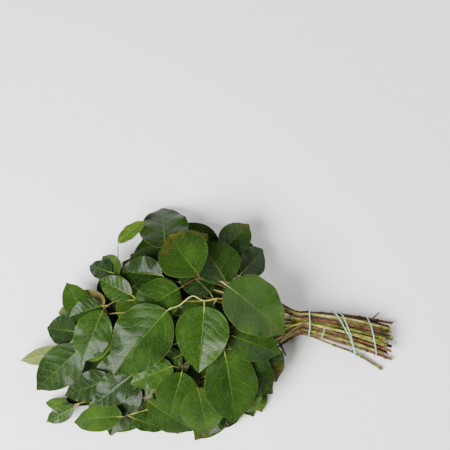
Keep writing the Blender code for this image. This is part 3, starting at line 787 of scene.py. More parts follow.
def leaf_face():
    green = Finish(
        "salal_leaf_face", (0.05, 0.13, 0.02), IOR=1.34, Specular_IOR_Level=0.23, Coat_Weight=0.06
    )
    where, share, margin = green.on_part(), green.number("share"), green.number("margin")
    midrib, side_veins, near_vein = veins_of(green)
    broad, fine = green.noise(where, 0.035), green.noise(where, 0.35, 4.0, 0.65)
    net = green.node(
        "ShaderNodeTexVoronoi", {"feature": "DISTANCE_TO_EDGE"}, {"Vector": where, "Scale": 0.4}
    ).fades(0.02, 0.11)
    # The tone is a little darker where near_vein sinks the surface beside each vein: painted shade in those
    # grooves.
    tone = green.number("tone") + (broad - 0.5) * 0.8 + (fine - 0.5) * 0.5 - near_vein * 0.05
    patches = green.number("blush") + (green.noise(where, 0.09, 4.0) - 0.5) * 1.5 + (share - 0.8) * 1.2
    colour = green.ramp(tone, FACE_TONES)
    for name, amount in (
        ("browned", patches.fades(0.75, 0.25) * 0.7),
        ("net", net * 0.16),
        ("side vein", side_veins * (broad * 0.5)),
        ("midrib", midrib * (0.8 - share * 0.6)),
        ("margin", margin.fades(1.0, 0.965) * 0.35),
    ):
        colour = green.mix(amount, colour, FACE_COLOURS[name])
    relief = 0.6 - near_vein * 0.26 - side_veins * 0.12 - midrib * 0.4 - net * 0.24 + fine * 0.3
    return green.finish(colour, 0.15 + broad * 0.16 + fine * 0.14, relief, 0.7 * MM)


def leaf_back():
    pale = Finish("salal_leaf_back", (0.22, 0.28, 0.09), IOR=1.4, Specular_IOR_Level=0.3)
    where = pale.on_part()
    midrib, side_veins, near_vein = veins_of(pale)
    broad, fine = pale.noise(where, 0.04), pale.noise(where, 0.4, 3.0, 0.6)
    tone = pale.number("tone") * 0.5 + (broad - 0.5) * 0.6 + fine * 0.4
    colour = pale.ramp(tone, BACK_TONES)
    for name, amount in (
        ("browned", pale.number("blush") * broad),
        ("side vein", side_veins * 0.5),
        ("midrib", midrib * 0.8),
    ):
        colour = pale.mix(amount, colour, BACK_COLOURS[name])
    relief = side_veins * 0.6 + near_vein * 0.3 + fine * 0.1
    return pale.finish(colour, 0.52 + fine * 0.15, relief, 0.5 * MM)


LEAF_FACE, LEAF_BACK = leaf_face(), leaf_back()
print("leaf finishes", LEAF_FACE.name, LEAF_BACK.name)

# %% [markdown]
# ## Bark, cut wood and twine
#
# The bare stems range from yellow-green through olive to red-brown, each with its own tone and
# with streaks along it, darker rings at its nodes and a thin shine. Their cut ends are pale with a
# brown pith. The twine is two smooth plies of pale sea-green plastic fibre. Streaks are noise that is
# stretched along the part, so they follow every bend of it without any unwrapping.

# %% Tones of bark, wood and twine
BARK_TONES = (
    (0.00, (0.012, 0.007, 0.006)), (0.18, (0.030, 0.012, 0.009)), (0.32, (0.082, 0.024, 0.016)),
    (0.42, (0.150, 0.046, 0.026)), (0.52, (0.170, 0.092, 0.034)), (0.64, (0.140, 0.124, 0.018)),
    (0.82, (0.300, 0.310, 0.046)), (1.00, (0.560, 0.530, 0.185)),
)
DARK_FIBRES = (0.026, 0.015, 0.008)
# A cut end from its middle to its rim: brown pith, pale wood and a thin dark skin
WOOD_TONES = (
    (0.0, (0.130, 0.070, 0.035)), (0.22, (0.250, 0.160, 0.080)), (0.34, (0.560, 0.470, 0.250)),
    (0.78, (0.620, 0.560, 0.300)), (0.92, (0.200, 0.150, 0.060)),
)
TWINE_TONES = (
    (0.25, (0.160, 0.430, 0.340)), (0.50, (0.330, 0.640, 0.540)), (0.75, (0.700, 0.870, 0.800)),
)
print("bark runs through", len(BARK_TONES), "tones")


# %% Stem and twine finishes
def streaks(finish, lengthwise, across):
    """Streaks that run along a part. The two scales say how stretched they are."""
    along, across = finish.number("along") * lengthwise, finish.number("across") * across
    return finish.noise(finish.vector(along, across, finish.number("part") * PARTS_APART), 1.0, 2.0)


def bark():
    """The skin of the stems. Its number blush says how near a node is."""
    skin = Finish("salal_bark", (0.3, 0.25, 0.1), IOR=1.4, Specular_IOR_Level=0.35)
    where = skin.on_part()
    broad, fine = skin.noise(where, 0.08, 4.0, 0.6), skin.noise(where, 0.9, 3.0, 0.6)
    tone = skin.number("tone") + (broad - 0.5) * 1.15 + (fine - 0.5) * 0.16 - skin.number("blush") * 0.28
    fibres = streaks(skin, 0.08, 4.0)
    colour = skin.mix(fibres.fades(0.64, 0.4) * 0.6, skin.ramp(tone, BARK_TONES), DARK_FIBRES)
    return skin.finish(colour, 0.42 + fine * 0.2, fibres * 0.6 + fine * 0.3, 0.35 * MM)


def cut_wood():
    """The cut ends. Object coordinates are in metres, so fine grain needs a large scale."""
    wood = Finish("salal_cut_wood", (0.6, 0.5, 0.3), IOR=1.4)
    grain = wood.noise(wood.node("ShaderNodeTexCoord", {}, {}, "Object"), 1500.0)
    colour = wood.ramp(wood.number("margin") + (grain - 0.5) * 0.12, WOOD_TONES)
    return wood.finish(colour, 0.65 + grain * 0.2, grain, 0.2 * MM)


def twine_finish():
    fibre = Finish("tie_twine", (0.45, 0.75, 0.66), IOR=1.5)
    fibres = streaks(fibre, 0.5, 3.0)
    colour = fibre.ramp(fibres, TWINE_TONES)
    return fibre.finish(colour, 0.35 + fibres * 0.2, fibres, 0.12 * MM)


BARK, CUT_WOOD, TWINE = bark(), cut_wood(), twine_finish()
print("stem and twine finishes", BARK.name, CUT_WOOD.name, TWINE.name)

# %% [markdown]
# ## A mesh that carries numbers
#
# All the blades, petioles, buds and the stem of one branch go into one bmesh, because the real
# branch grew as one piece. Each point also carries the numbers that the finishes read. An object for
# each leaf would be easier to colour, but the frame has one node for the whole branch.


# %% The growing piece
def in_scene(name, data):
    """A new object that stands in the scene."""
    made = bpy.data.objects.new(name, data)
    bpy.context.scene.collection.objects.link(made)
    return made


def once(things):
    """Each thing once, and always in the same order, which a set would not keep."""
    return list(dict.fromkeys(things))


# The order of a branch's materials. The twine has only one, so its number is 0.
FACE, BACK, STEM, CUT = range(4)
TWINE_PAINT = 0
# How far the count of parts goes on with each part, and the angle from which an edge is sharp
PART_STEP, SHARP = 0.13, math.radians(50)
NUMBERS = ("tone", "blush", "along", "across", "share", "vein", "margin", "part")


class Growth:
    """A bmesh with a layer for each number that the finishes read."""

    def __init__(self, number):
        self.shape, self.part = bmesh.new(), float(number)
        self.layers = {name: self.shape.verts.layers.float.new(name) for name in NUMBERS}

    def move(self, verts, points, **numbers):
        """Puts points in place, in the frame's own axes, and gives them their numbers. None may lie
        under the table."""
        self.part += PART_STEP
        numbers["part"] = self.part
        points = points - np.array(ORIGIN)
        points[:, 2] = np.maximum(points[:, 2], 0.0)
        for vert, point in zip(verts, points):
            vert.co = point
        for name, values in numbers.items():
            layer = self.layers[name]
            for vert, number in zip(verts, np.broadcast_to(values, len(verts))):
                vert[layer] = number

    def paint(self, faces, material):
        for face in faces:
            face.material_index, face.smooth = material, True

    def finished(self, name, node, finishes):
        """Makes the object that stands for a node of the frame."""
        mesh = bpy.data.meshes.new(name)
        self.shape.to_mesh(mesh)
        self.shape.free()
        mesh.set_sharp_from_angle(angle=SHARP)
        for finish in finishes:
            mesh.materials.append(finish)
        piece = in_scene(name, mesh)
        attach(piece, "root")
        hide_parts(node)
        return piece


print("numbers on each point:", ", ".join(NUMBERS))

# %% [markdown]
# ## Blades
#
# A blade starts as a flat grid, whose points are then moved onto the leaf's curve. Towards the
# midrib the rows stand closer, because the fold is sharpest there. The margin has fine teeth and
# ripples up and down a little, and the midrib sweeps to one side as it grows. Solidify gives the
# blade its thickness, and what it adds is the paler underside. A grid was chosen because each of its
# points knows how far along and across the leaf it is.


# %% How leaves differ
@dataclass
class Look:
    """How one leaf differs from the next, beyond its place and its size."""

    tone: float
    blush: float
    sweep: float
    ripple: float
    waves: float
    phases: tuple


print("leaves differ in", ", ".join(Look.__annotations__))

# %% Growing a blade
# Faces along a blade and across it, and the power that draws its rows towards the midrib
BLADE_LENGTHWISE, BLADE_ACROSS, TO_MIDRIB = 44, 12, 1.25
FINE_THICKNESS = 0.5 * MM
# Side veins in each half, and how they lean and bend towards the tip
SIDE_VEINS, VEIN_LEAN, VEIN_BEND = 7, 0.5, 0.011
# By how much the tip is drawn out to a point, where, and over which share of the length
TIP_DRAWN, TIP_AT, TIP_REACH = 0.3, 0.94, 0.07
# The least half width at the base and at the tip, and the teeth and notches of the margin
BASE_LEAST, TIP_LEAST, TOOTH, NOTCH = 0.6 * MM, 0.15 * MM, 0.3 * MM, -0.1 * MM


def surface(leaf, look, s, t, half, below=0.0):
    """Points of the fine blade in the table's frame."""
    points = blade(leaf, s, t, half)
    points[..., 1] += look.sweep * leaf.length * s**2
    phase = np.where(t > 0, look.phases[0], look.phases[1])
    wave = np.sin(2 * math.pi * (look.waves * s + phase))
    points[..., 2] += look.ripple * t**2 * wave * np.sin(math.pi * s)
    sunk = LEAF_THICKNESS - FINE_THICKNESS if leaf.pressed else 0.0
    placed = place(leaf, points, below + sunk)
    placed[..., 2] = np.maximum(placed[..., 2], FINE_THICKNESS - below)
    return placed


def grow_blade(growth, leaf, look):
    grid = bmesh.ops.create_grid(
        growth.shape, x_segments=BLADE_LENGTHWISE, y_segments=BLADE_ACROSS, size=1.0, calc_uvs=False
    )["verts"]
    s = np.array([(vert.co.x + 1) / 2 for vert in grid])
    t = np.array([vert.co.y for vert in grid])
    t = np.sign(t) * np.abs(t) ** TO_MIDRIB
    drawn_out = 1 - TIP_DRAWN * np.exp(-(((s - TIP_AT) / TIP_REACH) ** 2))
    half = leaf.width / 2 * outline(s, leaf.fullness) * drawn_out
    half = np.maximum(half, np.where(s < 0.5, BASE_LEAST, TIP_LEAST))
    # The margin's points stand out and in by turns, as teeth that fade towards base and tip
    tooth = np.where(np.rint(s * BLADE_LENGTHWISE) % 2 == 1, TOOTH, NOTCH)
    half = half + tooth * (np.abs(t) > 0.99) * np.sin(math.pi * s) ** 0.5
    along, across = s * leaf.length / MM, t * half / MM
    # The count of side veins up to each point, which is whole where a vein runs
    rows = SIDE_VEINS * (s - (VEIN_LEAN * np.abs(across) + VEIN_BEND * across**2) * MM / leaf.length)
    growth.move(
        grid, surface(leaf, look, s, t, half), tone=look.tone, blush=look.blush,
        along=along, across=across, share=s, vein=rows, margin=np.abs(t),
    )
    faces = once(face for vert in grid for face in vert.link_faces)
    growth.paint(faces, FACE)
    for face in faces:
        face.normal_update()
    count = len(growth.shape.faces)
    bmesh.ops.solidify(growth.shape, geom=faces, thickness=FINE_THICKNESS)
    growth.shape.faces.ensure_lookup_table()
    growth.paint(growth.shape.faces[count:], BACK)


print("a blade has", BLADE_LENGTHWISE * BLADE_ACROSS, "faces on each side")

# %% [markdown]
# ## Stems, petioles and buds
#
# A stem is a grid rolled into a tube round its line, with its seam merged and its ends closed.
# It swells at every node, where a leaf stands or once stood, and a small bud sits there. The lower
# ends are cut on a slant. A petiole is a thin tube of the same kind, which runs on under the blade
# as the raised midrib. A curve with a bevel would make a tube too, but it couldn't carry the numbers.


# %% Rolling a grid round a line
MERGED = 1e-6


def frame_along(line, closed=False):
    """A line's direction at each of its points, and two that are square to it and don't twist."""
    tangent = np.roll(line, -1, axis=0) - np.roll(line, 1, axis=0) if closed else np.gradient(line, axis=0)
    tangent /= np.linalg.norm(tangent, axis=1)[:, None]
    side = np.cross([0.0, 0.0, 1.0] if abs(tangent[0, 2]) < 0.9 else [1.0, 0.0, 0.0], tangent[0])
    sides = []
    for ahead in tangent:
        side = side - (side @ ahead) * ahead
        side /= np.linalg.norm(side)
        sides.append(side)
    return tangent, np.array(sides), np.cross(tangent, sides)


def at_turns(side, up, turn):
    """Directions out of a line, at given turns round it."""
    return np.cos(turn)[:, None] * side + np.sin(turn)[:, None] * up


def roll_grid(growth, steps, sides, side, up):
    """A new grid and, for each of its points, its station on a line, its turn and its way out."""
    grid = bmesh.ops.create_grid(growth.shape, x_segments=steps, y_segments=sides, size=1.0)["verts"]
    station = np.rint([(vert.co.x + 1) / 2 * steps for vert in grid]).astype(int) % len(side)
    turn = np.array([-(vert.co.y + 1) * math.pi for vert in grid])
    return grid, station, turn, at_turns(side[station], up[station], turn)


def close_seams(growth, grid, paint):
    """Merges the edges of a rolled grid that meet. Gives what is left of it, painted."""
    bmesh.ops.remove_doubles(growth.shape, verts=grid, dist=MERGED)
    grid = [vert for vert in grid if vert.is_valid]
    faces = once(face for vert in grid for face in vert.link_faces)
    growth.paint(faces, paint)
    return grid, faces


print("points are merged within", MERGED, "m")


# %% Tubes and buds
def grow_tube(growth, line, radius, sides, tone, node=0.0, slant=0.0, paints=(STEM, CUT)):
    """Rolls a grid round a line and closes its ends. The first end is cut on a slant."""
    tangent, side, up = frame_along(line)
    grid, station, turn, out = roll_grid(growth, len(line) - 1, sides, side, up)
    lean = slant * radius[station] * np.cos(turn) * (station == 0)
    points = line[station] + radius[station, None] * out + lean[:, None] * tangent[station]
    steps = lengths_along(line) / MM
    tone = np.broadcast_to(tone, len(line))
    node = np.broadcast_to(node, len(line))
    growth.move(
        grid, points, tone=tone[station], blush=node[station],
        along=steps[station], across=np.cos(turn), margin=1.0,
    )
    grid, faces = close_seams(growth, grid, paints[0])
    rims = once(edge for vert in grid for edge in vert.link_edges if edge.is_boundary)
    caps = bmesh.ops.holes_fill(growth.shape, edges=rims, sides=0)["faces"]
    growth.paint(caps, paints[1])
    bmesh.ops.recalc_face_normals(growth.shape, faces=faces + caps)
    middles = bmesh.ops.poke(growth.shape, faces=caps)
    for vert in middles["verts"]:
        vert[growth.layers["margin"]] = 0.0
    for face in middles["faces"]:
        face.smooth = False


# By how much a bud narrows to its tip, and how far it has the dark tone of a node
BUD_TAPER, BUD_BLUSH = 0.45, 0.15


def grow_bud(growth, at, towards, length, width, tone):
    """A small pointed bud, from a ball drawn out along one direction."""
    ball = bmesh.ops.create_icosphere(growth.shape, subdivisions=2, radius=1.0)["verts"]
    towards = Vector(towards).normalized()
    turned = towards.to_track_quat("X", "Z").to_matrix()
    points = []
    for vert in ball:
        taper = 1.0 - BUD_TAPER * max(vert.co.x, 0.0)
        local = Vector((vert.co.x * length, vert.co.y * width * taper, vert.co.z * width * taper))
        points.append(Vector(at) + turned @ local)
    growth.move(ball, np.array(points), tone=tone, blush=BUD_BLUSH, along=0.0, across=0.0, margin=1.0)
    growth.paint(once(face for vert in ball for face in vert.link_faces), STEM)


print("buds taper to", 1 - BUD_TAPER, "of their width")

# %% [markdown]
# ## One whole branch
#
# The stem comes first, with nodes down its bare length, and then each leaf with its petiole. A few
# leaves and twigs that show in front have tones of their own, and the rest draw theirs. Two
# branches also have a stub, where a side twig was cut or broken off.

# %% Tones and stubs
# What a bare stem without a tone of its own chooses from
BARE_TONES = (0.20, 0.30, 0.44, 0.60, 0.70, 0.80, 0.88)
# Tones of the bare stems that lie on top, and of the twigs that show in front, by branch
STEM_TONES = {
    18: 0.36, 22: 0.28, 34: 0.86, 21: 0.80, 23: 0.84, 33: 0.36, 24: 0.88, 30: 0.74, 16: 0.24,
    26: 0.90, 31: 0.84, 29: 0.52, 20: 0.86, 27: 0.30, 28: 0.68, 14: 0.56, 1: 0.60,
}
TWIG_TONES = {32: 0.42, 33: 0.97, 23: 0.92}
# Tone and blush of leaves that show in front, by branch and leaf
LEAF_LOOKS = {
    (34, 0): (0.62, 0.25), (32, 0): (0.40, 0.10), (32, 1): (0.52, 0.45), (32, 2): (0.45, 0.05),
    (33, 0): (0.60, 0.05), (33, 1): (0.58, 0.10), (33, 2): (0.45, 0.0), (31, 1): (0.50, 0.10),
    (24, 0): (0.70, 0.95), (24, 1): (0.85, 0.20), (24, 2): (0.80, 0.60), (25, 0): (0.35, 0.0),
    (23, 3): (0.88, 0.0),
    (26, 0): (0.30, 0.0), (26, 1): (0.22, 0.0), (26, 2): (0.25, 0.0), (21, 1): (0.42, 0.0),
}
# Each stub: its branch, where along X it starts, its length, which way it points and its tone
STUBS = (
    (18, 198 * MM, 12.5 * MM, (0.70, 0.70, 0.35), 0.45),
    (27, 84 * MM, 19 * MM, (0.42, -0.85, 0.05), 0.04),
)
print("tones given to", len(STEM_TONES), "stems and", len(LEAF_LOOKS), "leaves")

# %% Looks and petioles
# Mean and spread of a leaf's tone and of its blush, where none is given
TONE_DRAW, BLUSH_DRAW = (0.44, 0.20), (0.05, 0.25)
# Shares of a blade's length at which its midrib is measured
RIB_SHARES = (0.0, 0.12, 0.3, 0.5, 0.7, 0.86)
# Radii of a petiole and midrib in millimetres, after the shares of their length where they stand
PETIOLE_SHARES, PETIOLE_RADII = (0, 0.12, 0.4, 1.0), (0.95, 0.6, 0.45, 0.12)
PETIOLE_SAG, PETIOLE_STEP, PETIOLE_SIDES = 0.3 * MM, 2.5 * MM, 6


def draw_look(draw, leaf, key):
    """How a leaf looks: with the tone and blush given above, or else with drawn ones."""
    tone, blush = draw.gauss(*TONE_DRAW), max(0.0, draw.gauss(*BLUSH_DRAW))
    tone, blush = LEAF_LOOKS.get(key, (min(max(tone, 0.1), 0.9), min(blush, 0.7)))
    return Look(
        tone, blush, sweep=draw.uniform(-0.05, 0.05),
        ripple=0.0 if leaf.pressed else draw.uniform(0.010, 0.030) * leaf.length,
        waves=draw.uniform(1.5, 3.5), phases=(draw.random(), draw.random()),
    )


def grow_petiole(growth, leaf, look, tone):
    """The leaf's stalk, from inside the stem, and its midrib below the blade."""
    s = np.array(RIB_SHARES)
    rib = surface(leaf, look, s, np.zeros(len(s)), np.full(len(s), MM), FINE_THICKNESS)
    root = np.array(leaf.root)
    # The stalk sags a little about half-way to the blade
    bend = 0.45 * root + 0.55 * rib[0] + np.array([0.0, 0.0, -PETIOLE_SAG])
    line = curve_through([root, bend, *rib], PETIOLE_STEP)
    radius = np.interp(np.linspace(0, 1, len(line)), PETIOLE_SHARES, np.array(PETIOLE_RADII) * MM)
    grow_tube(growth, line, radius, PETIOLE_SIDES, tone)


print("petioles are", 2 * PETIOLE_RADII[0], "mm thick at the stem")

# %% Stems with their nodes
# From the cut end to a stem's first node, from one node to the next, and a node's own length
FIRST_NODE, NODE_SPACING, NODE_LENGTH = (8 * MM, 26 * MM), (20 * MM, 33 * MM), 1.6 * MM
STEM_SIDES, NODE_SWELLING, TWIG_SLIMMING = 8, 0.30, 0.25
# A fine stem's radius as a share of the solid one's, how much it varies, and over what length
FINE_STEM, STEM_VARIES, VARIES_OVER = (0.78, 0.94), 0.05, 9 * MM
# How a stem thins over its last points, how dark its nodes are, and the most slant of its cut
STEM_TIP, NODE_DARK, MOST_SLANT = (0.85, 0.65, 0.4), 0.8, 1.2
# Lengths of a node's bud in millimetres, its width, and the length and width of the last bud
BUD_LENGTHS, BUD_WIDTH, LAST_BUD = (1.4, 2.2), 0.8 * MM, (2.2 * MM, 0.9 * MM)


def bare_nodes(draw, branch):
    """Where leaves once stood along the stripped part of a stem."""
    found, x = [], CUT_X - draw.uniform(*FIRST_NODE)
    while x > HEAD_X:
        found.append(int(np.argmin(np.abs(branch.line[:, 0] - x))))
        x -= draw.uniform(*NODE_SPACING)
    return found


def grow_stem(growth, draw, branch, number):
    """The stem with its nodes and buds. Says what tone its twig has in the head."""
    line = branch.line
    nodes = sorted({leaf.node for leaf in branch.leaves} | set(bare_nodes(draw, branch)))
    steps = lengths_along(line)
    near = np.exp(-(((steps[:, None] - steps[nodes]) / NODE_LENGTH) ** 2)).max(axis=1)
    into_head = share_into_head(line[:, 0])
    radius = branch.radius * draw.uniform(*FINE_STEM) * (1 - TWIG_SLIMMING * into_head)
    radius = radius * (1 + NODE_SWELLING * near)
    radius = radius * (1 + STEM_VARIES * np.sin(steps / VARIES_OVER + draw.uniform(0, 6)))
    radius[-3:] *= STEM_TIP
    bare = STEM_TONES.get(number, draw.choice(BARE_TONES)) + draw.uniform(-0.05, 0.05)
    twig = TWIG_TONES.get(number, 0.55 * bare + 0.45 * draw.uniform(0.3, 0.9))
    tone = bare * (1 - into_head) + twig * into_head
    slant = draw.uniform(-MOST_SLANT, MOST_SLANT)
    grow_tube(growth, line, radius, STEM_SIDES, tone, node=near * NODE_DARK, slant=slant)
    tangent, side, up = frame_along(line)
    for i in nodes[:-1]:
        turn = draw.uniform(0, math.pi)
        out = math.cos(turn) * side[i] + math.sin(turn) * up[i]
        # A bud sits in the skin, just below the node, and points outwards and on
        at = line[i] + 0.8 * radius[i] * out - 0.4 * radius[i] * tangent[i]
        length = draw.uniform(*BUD_LENGTHS) * MM
        grow_bud(growth, at, out * 0.55 + tangent[i], length, BUD_WIDTH, tone[i] - 0.1)
    grow_bud(growth, line[-1], tangent[-1], *LAST_BUD, twig - 0.05)
    return twig


print("nodes swell by", NODE_SWELLING, "of the radius")

# %% Growing every branch
# A stub's radius in millimetres at its end and at its foot, its points and the slant of its cut
STUB_RADII, STUB_POINTS, STUB_SLANT = (0.9, 1.3), 8, 0.6
# The seed of a branch's looks is its number beyond this one. Tones of petioles on other twigs
# than those above.
FIRST_SEED, PETIOLE_TONES = 100, (0.62, 0.9)


def grow_stubs(growth, branch, number):
    """Short ends of side twigs that were cut or broken off."""
    for owner, x, length, way, tone in STUBS:
        if owner == number:
            i = int(np.argmin(np.abs(branch.line[:, 0] - x)))
            share = np.linspace(1, 0, STUB_POINTS)[:, None]
            line = branch.line[i] + share * np.array(way) / np.linalg.norm(way) * length
            radius = np.linspace(*STUB_RADII, STUB_POINTS) * MM
            grow_tube(growth, line, radius, PETIOLE_SIDES, tone, slant=STUB_SLANT)


def grow_branch(branch, number):
    draw = random.Random(FIRST_SEED + number)
    growth = Growth(number)
    twig = grow_stem(growth, draw, branch, number)
    grow_stubs(growth, branch, number)
    for i, leaf in enumerate(branch.leaves):
        look = draw_look(draw, leaf, (number, i))
        tone = twig if number in TWIG_TONES else draw.uniform(*PETIOLE_TONES)
        grow_petiole(growth, leaf, look, tone)
        grow_blade(growth, leaf, look)
    node = f"branch_{number:02d}"
    return growth.finished(f"salal_{node}", node, (LEAF_FACE, LEAF_BACK, BARK, CUT_WOOD))


grown = [grow_branch(branch, number) for number, branch in enumerate(branches, 1)]
print("grown", len(grown), "branches,", sum(len(piece.data.polygons) for piece in grown), "faces")

# %% [markdown]
# ## Ties
#
# Thin twine is pulled tight round the bundle in three places. Each loop follows the outermost
# stems, so its line is their convex hull. The twine has two plies, which wind round each other a
# whole number of times, so that each ply closes on itself. A bevelled curve would be quicker, but it
# makes one smooth cord. The middle tie's two loops meet in a knot of a few tight turns with two
# loose ends, and each of the other ties shows one loose end.

# %% Loops of twine
# A ply's radius, how far it lies from the twine's middle, and how long one turn of it is
PLY_RADIUS, PLY_OFFSET, PLY_TURN = 0.36 * MM, 0.27 * MM, 3.4 * MM
# Points along a loop, sides of a ply, and the points round a stem that a loop has to clear
LOOP_POINTS, TWINE_SIDES, ROUND_STEM = 420, 6, 16


def loop_round(x, slant):
    """Centre line of a string pulled tight round the stems, in a plane that slants along X. It
    leaves out a stem that has sprung away from the others."""
    around = []
    for branch in branches:
        line = branch.line
        ahead = line[:, 0] - x - slant * (line[:, 1] - BUNDLE_Y)
        if ahead.max() < 0 or ahead.min() > 0:
            continue
        i = int(np.argmin(np.abs(ahead)))
        if abs(line[i, 1] - BUNDLE_Y) > TIE_REACH:
            continue
        clear = branch.radius[i] + STRING_RADIUS + STRING_CLEARANCE
        step = line[max(i - 1, 0), :2] - line[i + 1, :2]
        wide = clear * np.linalg.norm(step) / abs(step[0] - slant * step[1])
        for a in range(ROUND_STEM):
            turn = a * 2 * math.pi / ROUND_STEM
            around.append((line[i, 1] + wide * math.cos(turn), line[i, 2] + clear * math.sin(turn)))
    corners = np.array(around)[geometry.convex_hull_2d(around)]
    corners = np.vstack([corners, corners[:1]])
    along = lengths_along(corners)
    spots = np.linspace(0, along[-1], LOOP_POINTS, endpoint=False)
    y, z = (np.interp(spots, along, corners[:, i]) for i in (0, 1))
    return np.column_stack([x + slant * (y - BUNDLE_Y), y, z]), along[-1]


def grow_loop(growth, line, length):
    """Two plies wound round a closed line, each a rolled grid with both its seams merged."""
    _, side, up = frame_along(line, closed=True)
    turns = round(length / PLY_TURN)
    for ply in (0, 1):
        wind = 2 * math.pi * turns * np.arange(LOOP_POINTS) / LOOP_POINTS + math.pi * ply
        centre = line + PLY_OFFSET * at_turns(side, up, wind)
        grid, station, turn, out = roll_grid(growth, LOOP_POINTS, TWINE_SIDES, side, up)
        along = station * length / LOOP_POINTS / MM
        growth.move(grid, centre[station] + PLY_RADIUS * out, along=along, across=np.cos(turn))
        _, faces = close_seams(growth, grid, TWINE_PAINT)
        bmesh.ops.recalc_face_normals(growth.shape, faces=faces)


print("twine of", 2 * PLY_RADIUS + 2 * PLY_OFFSET, "m across")

# %% Loose ends and the knot
# A loose end's radius, its height over the stems, how far it may dip between them, the step from
# one of its points to the next, and over how many of them its height is evened out
END_RADIUS, END_LIES, END_DIPS, END_STEP, END_EVENED = 0.45 * MM, 0.5 * MM, 2.5 * MM, 1.0 * MM, 7
# The knot's turns and points, its half length in millimetres, its radius and its twine's
KNOT_TURNS, KNOT_POINTS, KNOT_HALF, KNOT_RADIUS, KNOT_TWINE = 2.5, 40, 1.3, 1.2 * MM, 0.5 * MM


def top_of_stems(x, y):
    """Height of the highest stem over a place of the bundle."""
    best = 0.0
    for branch in branches:
        i = nearest(branch.line, x, y)
        apart = math.hypot(branch.line[i, 0] - x, branch.line[i, 1] - y)
        if apart < branch.radius[i]:
            best = max(best, branch.line[i, 2] + math.sqrt(branch.radius[i] ** 2 - apart**2))
    return best


def grow_plain_twine(growth, line, radius):
    """Twine along a line, as one smooth tube."""
    radii = np.full(len(line), radius)
    grow_tube(growth, line, radii, TWINE_SIDES, 0.0, paints=(TWINE_PAINT, TWINE_PAINT))


def grow_end(growth, places):
    """A loose end of twine that lies on the stems and dips a little between them."""
    plan = curve_through(places, END_STEP)
    z = np.array([top_of_stems(x, y) for x, y in plan]) + END_LIES
    z = np.maximum(z, z.max() - END_DIPS)
    padded = np.pad(z, END_EVENED // 2, mode="edge")
    z = np.convolve(padded, np.ones(END_EVENED) / END_EVENED, mode="valid")
    grow_plain_twine(growth, np.column_stack([plan, z]), END_RADIUS)


def grow_knot(growth, line, x, y):
    """A few tight turns round the upper side of a loop, over a place of the bundle."""
    # The lower side of the loop counts as a metre farther away
    away = np.hypot(line[:, 0] - x, line[:, 1] - y) + (line[:, 2] < line[:, 2].mean())
    i = int(np.argmin(away))
    tangent, side, up = frame_along(line, closed=True)
    wind = np.linspace(0, 2 * math.pi * KNOT_TURNS, KNOT_POINTS)
    share = np.linspace(-KNOT_HALF, KNOT_HALF, KNOT_POINTS)[:, None] * MM
    coil = line[i] + share * tangent[i] + KNOT_RADIUS * at_turns(side[i], up[i], wind)
    grow_plain_twine(growth, coil, KNOT_TWINE)


print("knot of", KNOT_TURNS, "turns")

# %% Tying the bundle
# Places that the loose ends pass over. The middle tie's two both start from its knot.
LOOSE_ENDS = {
    "tie_head": (((134 * MM, -15 * MM), (136.5 * MM, -9 * MM), (138 * MM, -3.6 * MM)),),
    "tie_middle": (
        ((174.6 * MM, -25.6 * MM), (177 * MM, -27.5 * MM), (180 * MM, -27 * MM)),
        ((174.6 * MM, -25.6 * MM), (172.5 * MM, -28 * MM), (172 * MM, -31.5 * MM)),
    ),
    "tie_end": (((196.5 * MM, -7 * MM), (198.5 * MM, -12 * MM), (197.5 * MM, -17 * MM)),),
}

for name, loops in TIES.items():
    growth = Growth(0)
    lengths = []
    for x, slant in loops:
        line, length = loop_round(x, slant)
        grow_loop(growth, line, length)
        lengths.append(round(length, 4))
    for places in LOOSE_ENDS[name]:
        grow_end(growth, places)
    if len(loops) > 1:
        grow_knot(growth, line, *LOOSE_ENDS[name][0][0])
    growth.finished(f"twine_{name}", name, (TWINE,))
    print(name, "loops of", lengths, "m")

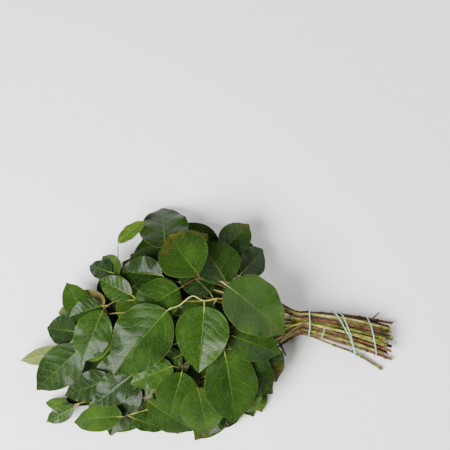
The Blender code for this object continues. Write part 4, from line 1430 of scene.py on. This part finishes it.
# %% [markdown]
# ## Table, light and camera
#
# The bunch was photographed from high above on white, with a long lens and a wide, soft light. The
# key light stands in front on the left and gives the leaves their sheen, and a wider and weaker one
# stands opposite it. The camera looks down at eighty-two degrees. The picture is square and about
# 540 mm across at the height of the leaves.


# %% The table
WHITE, HALF_TABLE = (0.94, 0.94, 0.94), 3.0


def grow_table():
    shape = bmesh.new()
    bmesh.ops.create_grid(shape, x_segments=1, y_segments=1, size=HALF_TABLE)
    mesh = bpy.data.meshes.new("table")
    shape.to_mesh(mesh)
    shape.free()
    mesh.materials.append(Finish("table_white", WHITE, Base_Color=(*WHITE, 1.0), Roughness=0.6).material)
    table = in_scene("table", mesh)
    return table


table = grow_table()
print("table", table.name)


# %% Light
def soft_light(name, stands, aim, size, power):
    light = bpy.data.lights.new(name, "AREA")
    light.shape, light.size, light.energy = "DISK", size, power
    lamp = in_scene(name, light)
    lamp.location = stands
    lamp.rotation_euler = (Vector(aim) - Vector(stands)).to_track_quat("-Z", "Y").to_euler()


soft_light("key", stands=(-0.75, -0.55, 1.25), aim=(-0.03, 0.0, 0.04), size=1.0, power=78.0)
soft_light("fill", stands=(1.3, 0.8, 1.1), aim=(0.0, 0.0, 0.04), size=2.0, power=32.0)
world = bpy.data.worlds.new("studio")
world.use_nodes = True
world.node_tree.nodes["Background"].inputs["Color"].default_value = (1.0, 1.0, 1.0, 1.0)
world.node_tree.nodes["Background"].inputs["Strength"].default_value = 0.09
bpy.context.scene.world = world

# %% The camera
ELEVATION = math.radians(82)
LENS, SENSOR, FIELD = 120.0, 36.0, 540 * MM
# The middle of the picture, at the height of the leaves
AIM = Vector((19.2 * MM, 119.95 * MM, 60 * MM)) - Vector(ORIGIN)
distance = FIELD / 2 / (SENSOR / 2 / LENS)
camera_data = bpy.data.cameras.new("camera")
camera_data.lens, camera_data.sensor_width = LENS, SENSOR
camera_data.clip_start, camera_data.clip_end = 0.05, 20.0
camera = in_scene("camera", camera_data)
camera.location = AIM + distance * Vector((0.0, -math.cos(ELEVATION), math.sin(ELEVATION)))
camera.rotation_euler = (math.pi / 2 - ELEVATION, 0.0, 0.0)
bpy.context.scene.camera = camera
print("camera at", tuple(round(v, 3) for v in camera.location))
